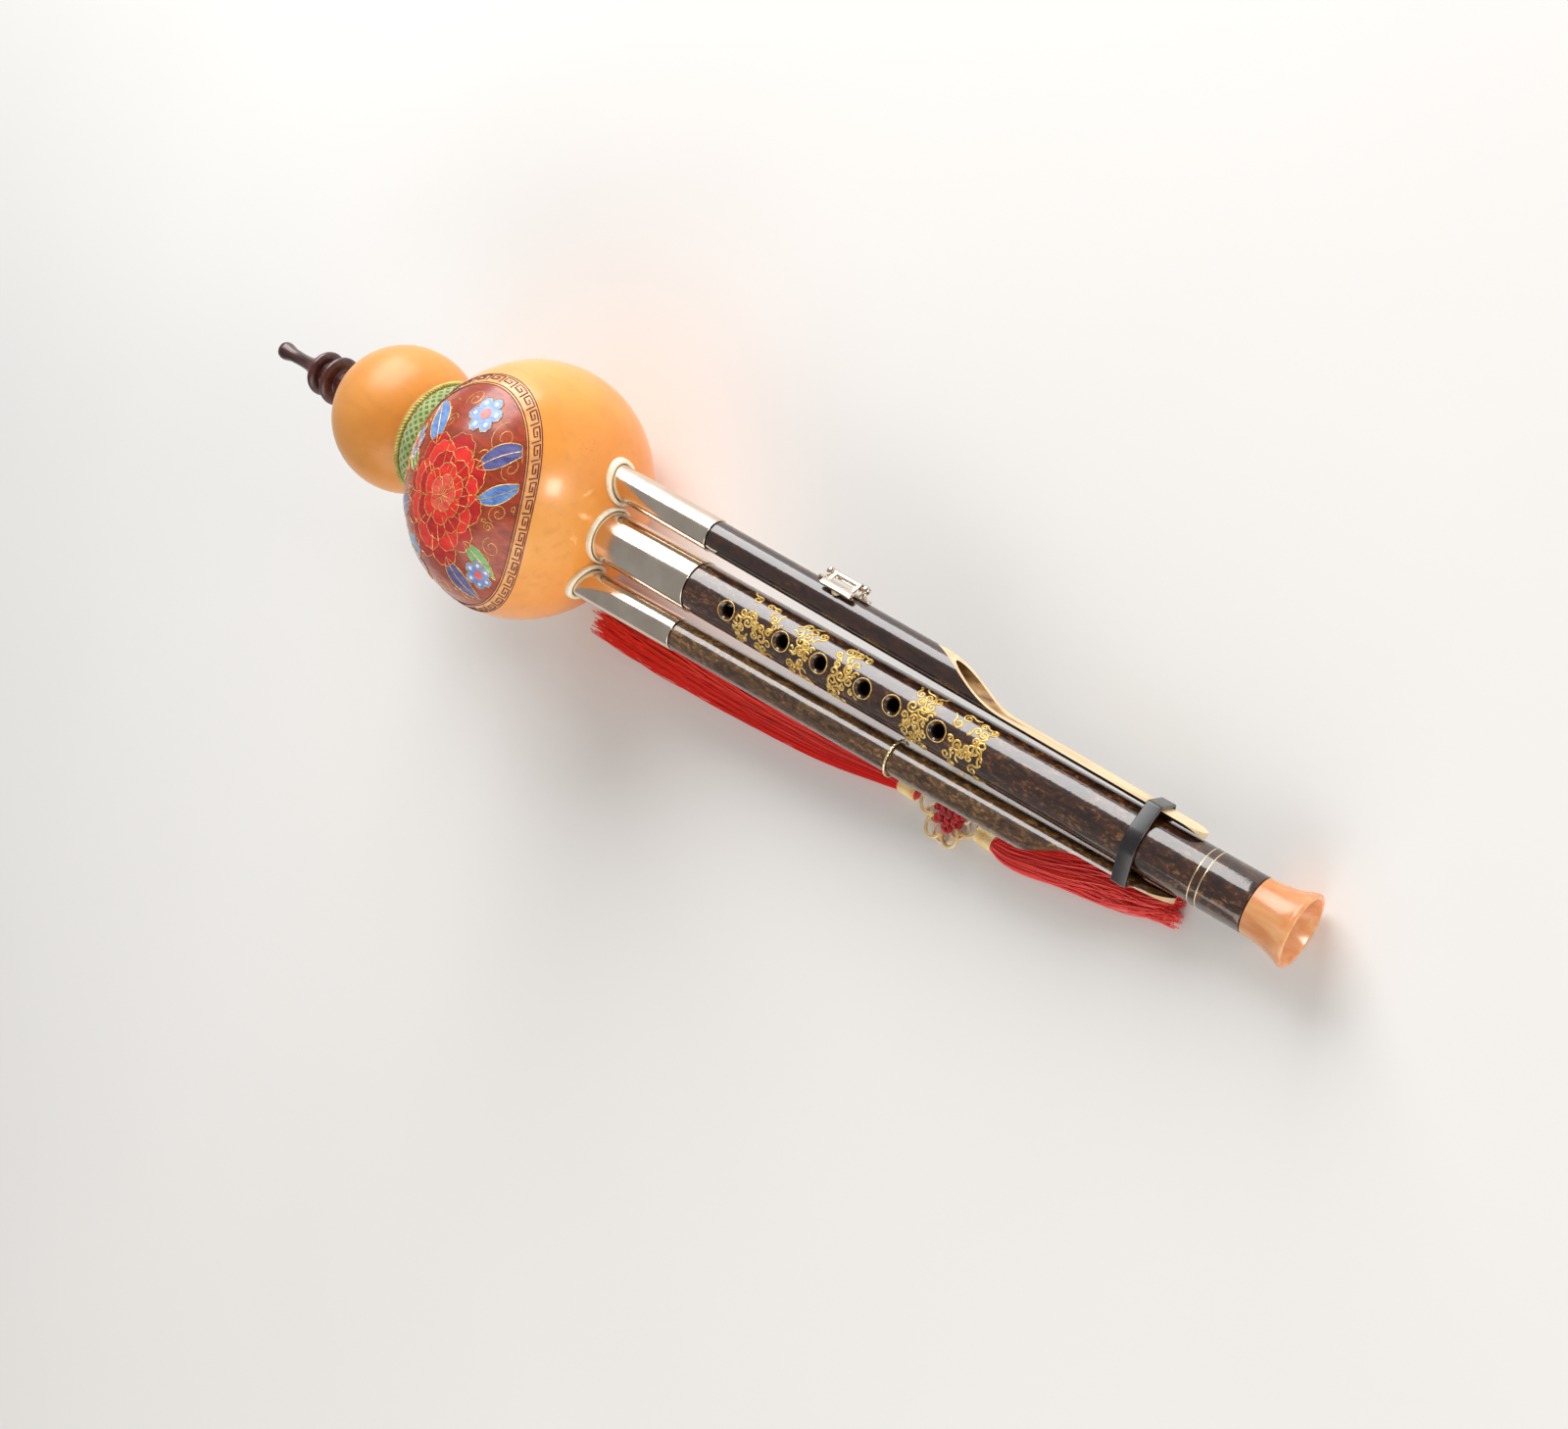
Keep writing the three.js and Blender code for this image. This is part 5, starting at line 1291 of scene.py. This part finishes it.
def wire_ring():
    radius = DRONE_RADIUS + 0.65
    wire = roped("twisted_wire", [circle(WIRE_PLACE, radius, 160)], LOWER, WIRE, 0.45, 16,
                 closed=True, plies=2, groove=0.14, pitch=2 * math.pi * radius / 16)
    seated(wire, "tassel", "wire", "wire_ring")


def tassel_cord():
    route, length = curve_through(CORD_ROUTE, 60)
    cord = roped("gold_cord", [route], MILLIMETRES, CORD_THREAD, CORD_DIAMETER / 2, 15, plies=3,
                 groove=0.14, pitch=3.2)
    return seated(cord, "tassel", "gold_thread", "tassel_cord"), route, length


def knot():
    """A woven diamond knot of red cord, edged and looped with two pale gold cords."""
    half = KNOT_PITCH * KNOT_RUNS / 2

    def row(odd):
        line = []
        for run in range(KNOT_RUNS):
            across = (run - (KNOT_RUNS - 1) / 2) * KNOT_PITCH
            hand = 1 if run % 2 == 0 else -1
            for s in steps(36):
                along = hand * lerp(-half, half, s)
                phase = math.cos(math.pi * (along / KNOT_PITCH + run + odd))
                line.append((along, across, KNOT_MIDDLE + KNOT_WEAVE * phase))
            if run < KNOT_RUNS - 1:
                for angle in (math.pi * (s - 0.5) for s in steps(10)[1:-1]):
                    line.append((hand * (half + 1.2 * math.cos(angle)),
                                 across + KNOT_PITCH / 2 * (1 + math.sin(angle)), KNOT_MIDDLE))
        tilt = math.radians(45 if odd else -45)
        cosine, sine = math.cos(tilt), math.sin(tilt)
        return [(x * cosine - y * sine, x * sine + y * cosine, z) for x, y, z in line]

    place = MILLIMETRES @ Matrix.Translation(KNOT_CENTRE)
    woven = roped("woven_knot", [row(0), row(1)], place, KNOT_SILK, 0.92, 14, plies=3,
                  groove=0.16, pitch=5.0)
    seated(woven, "tassel", "silk", "tassel_knot")

    def edging(name, finish, base, loop, level, phase, radius):
        """A cord round the diamond that throws out six loops."""
        line = []
        for angle in round_about(720):
            bulge = abs(math.cos(angle)) ** 1.2 + abs(math.sin(angle)) ** 1.2
            reach = base / bulge ** (1 / 1.2) + loop * (0.5 + 0.5 * math.cos(6 * angle + phase))
            swing = angle + 0.16 * math.sin(6 * angle + phase)
            line.append((*polar(reach, swing), level + 0.7 * math.sin(6 * angle)))
        cord = roped(name, [line], place, finish, radius, 12, closed=True, plies=3, groove=0.16,
                     pitch=2.4)
        seated(cord, "tassel", "gold_thread")

    edging("knot_edging", CORD_THREAD, 7.0, 4.4, KNOT_MIDDLE, 0.0, 0.62)
    edging("knot_piping", PALE_CORD, 6.4, 3.2, 1.4, math.pi, 0.58)


def tassel_side(side, label, route, half_width, height, count, seed):
    start = KNOT_REACH + 0.3
    end = start + HEAD_LENGTH
    place = MILLIMETRES @ Matrix.Translation(KNOT_CENTRE + Vector((0, 0, HEAD_RADIUS)))
    if side < 0:
        place = place @ Matrix.Rotation(math.pi, 4, "Z")
    core = [(start, 0.0), (start, 1.5), (start + 0.6, 2.3), (end - 0.4, 2.45), (end, 2.2),
            (end, 0.0)]
    head = turned(f"head_core_{label}", eased(core, 0.4, closed=False), place, SILK, 48)
    seated(head, "tassel", "silk", f"tassel_head_{label}")
    inset, winding = 0.7, []
    for s in steps(HEAD_TURNS * 24):
        across, up = polar(lerp(2.3, 2.5, min(1, s * 4)), 2 * math.pi * HEAD_TURNS * s)
        winding.append((lerp(start + inset, end - inset, s), across, up))
    wound = roped(f"head_winding_{label}", [winding], place, CORD_THREAD, 0.3)
    seated(wound, "tassel", "gold_thread")
    first = KNOT_CENTRE + Vector((side * (KNOT_REACH + HEAD_LENGTH + 0.2), 0, 0))
    second = first + Vector((side * 2 * HEAD_RADIUS, 0, 0))
    fine, _ = curve_through([first, second, *route], 26)
    strands = grown(f"strands_{label}", [fine], MILLIMETRES, STRANDS, LOOSE_SILK, Count=count,
                    Head=0.0025, Width=half_width / 1000, Height=height / 1000,
                    Thickness=0.00019, Wander=0.0012, Seed=seed)
    seated(strands, "tassel", "silk", f"tassel_strands_{label}")


# Camera, at the photograph's angle
CAMERA_PLACE = Vector((0.39795, 0.13246, 0.47645))
CAMERA_AHEAD = Vector((-0.59864, -0.26143, -0.75716))
CAMERA_RIGHT = Vector((0.66842, 0.35786, -0.65204))
camera = linked("camera", bpy.data.cameras.new("camera"))
camera_up = CAMERA_RIGHT.cross(CAMERA_AHEAD)
camera.matrix_world = (
    Matrix.Translation(CAMERA_PLACE)
    @ Matrix((CAMERA_RIGHT, camera_up, -CAMERA_AHEAD)).transposed().to_4x4()
)
camera.data.sensor_fit = "HORIZONTAL"
camera.data.sensor_width = 36
camera.data.lens = 44.36
camera.data.clip_start, camera.data.clip_end = 0.01, 20
scene.camera = camera

# Everything, in its order

cord, cord_path, cord_length = tassel_cord()
gourd()
medallion()
waist_binding()
mouthpiece()
for label, place, radius, flange_radius, end in (
    ("main", LAID, MAIN_RADIUS, 9.85, MAIN_FERRULE),
    ("upper", UPPER, DRONE_RADIUS, 7.2, DRONE_FERRULE),
    ("lower", LOWER, DRONE_RADIUS, 7.2, DRONE_FERRULE),
):
    flange(f"{label}_collar", place, flange_radius, radius + 0.55, f"{label}_flange")
    ferrule(f"{label}_sleeve", place, radius, end, f"{label}_ferrule")
main_pipe()
horn()
tone_hole = drill(KEY @ along_by(KEY_MIDDLE), KEY_TONE_HOLE, DRONE_RADIUS)
drone("upper_drone_turned", 1, UPPER_QUILL, BURL_UPPER, "upper_drone_pipe", [tone_hole])
drone("lower_drone_turned", -1, LOWER_QUILL, BURL_LOWER, "lower_drone_pipe")
clamp_band()
key()
wire_ring()
knot()
tassel_side(-1, "left", LEFT_ROUTE, 9.0, 7.0, 460, 11)
tassel_side(1, "right", RIGHT_ROUTE, 7.0, 5.0, 360, 23)

inner_finishes = {"mouthpiece_cork": CORK}
for pipe in ("main", "upper", "lower"):
    inner_finishes |= {f"{pipe}_reed_tube": BRASS, f"{pipe}_reed": BRASS,
                       f"{pipe}_reed_plug": CORK, f"{pipe}_lapping": THREAD}
for node, finish in inner_finishes.items():
    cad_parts[node].data.materials.clear()
    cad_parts[node].data.materials.append(finish)

# Floor and light

FLOOR_REACH = 6.0
corners = [(-1, -1), (1, -1), (1, 1), (-1, 1)]
floor = bpy.data.meshes.new("floor")
floor.from_pydata([(x * FLOOR_REACH, y * FLOOR_REACH, 0) for x, y in corners], [], [(0, 1, 2, 3)])
paper = Finish("floor_paper")
tone = paper.ramp(paper.noise(EVEN, 3, 3), (0.3, 0xEDECEA), (0.7, 0xF1F0EE))
floor.materials.append(paper.done(tone, 0.9))
linked("floor", floor)

for name, place, aim, size, power, colour in (
    ("window", (-0.55, 1.04, 0.62), (0.04, 0, 0.03), (1.0, 1.15), 23, (1, 1, 1)),
    ("fill", (0.5, -1.0, 0.55), (0, 0, 0), (1.4, 0.9), 7.5, (1, 0.94, 0.88)),
    ("spark", (1.2, 0.34, 0.21), (-0.05, 0.01, 0.07), (0.28, 0.28), 6, (1, 0.93, 0.84)),
):
    light = bpy.data.lights.new(name, "AREA")
    light.shape, light.size, light.size_y = "RECTANGLE", size[0], size[1]
    light.energy, light.color = power, colour
    lamp = linked(name, light)
    lamp.location = place
    lamp.rotation_euler = (Vector(aim) - Vector(place)).to_track_quat("-Z", "Y").to_euler()
world = bpy.data.worlds.new("studio")
world.use_nodes = True
world.node_tree.nodes["Background"].inputs[0].default_value = (1, 1, 1, 1)
world.node_tree.nodes["Background"].inputs[1].default_value = 0.34
scene.world = world
scene.view_settings.view_transform = "Standard"
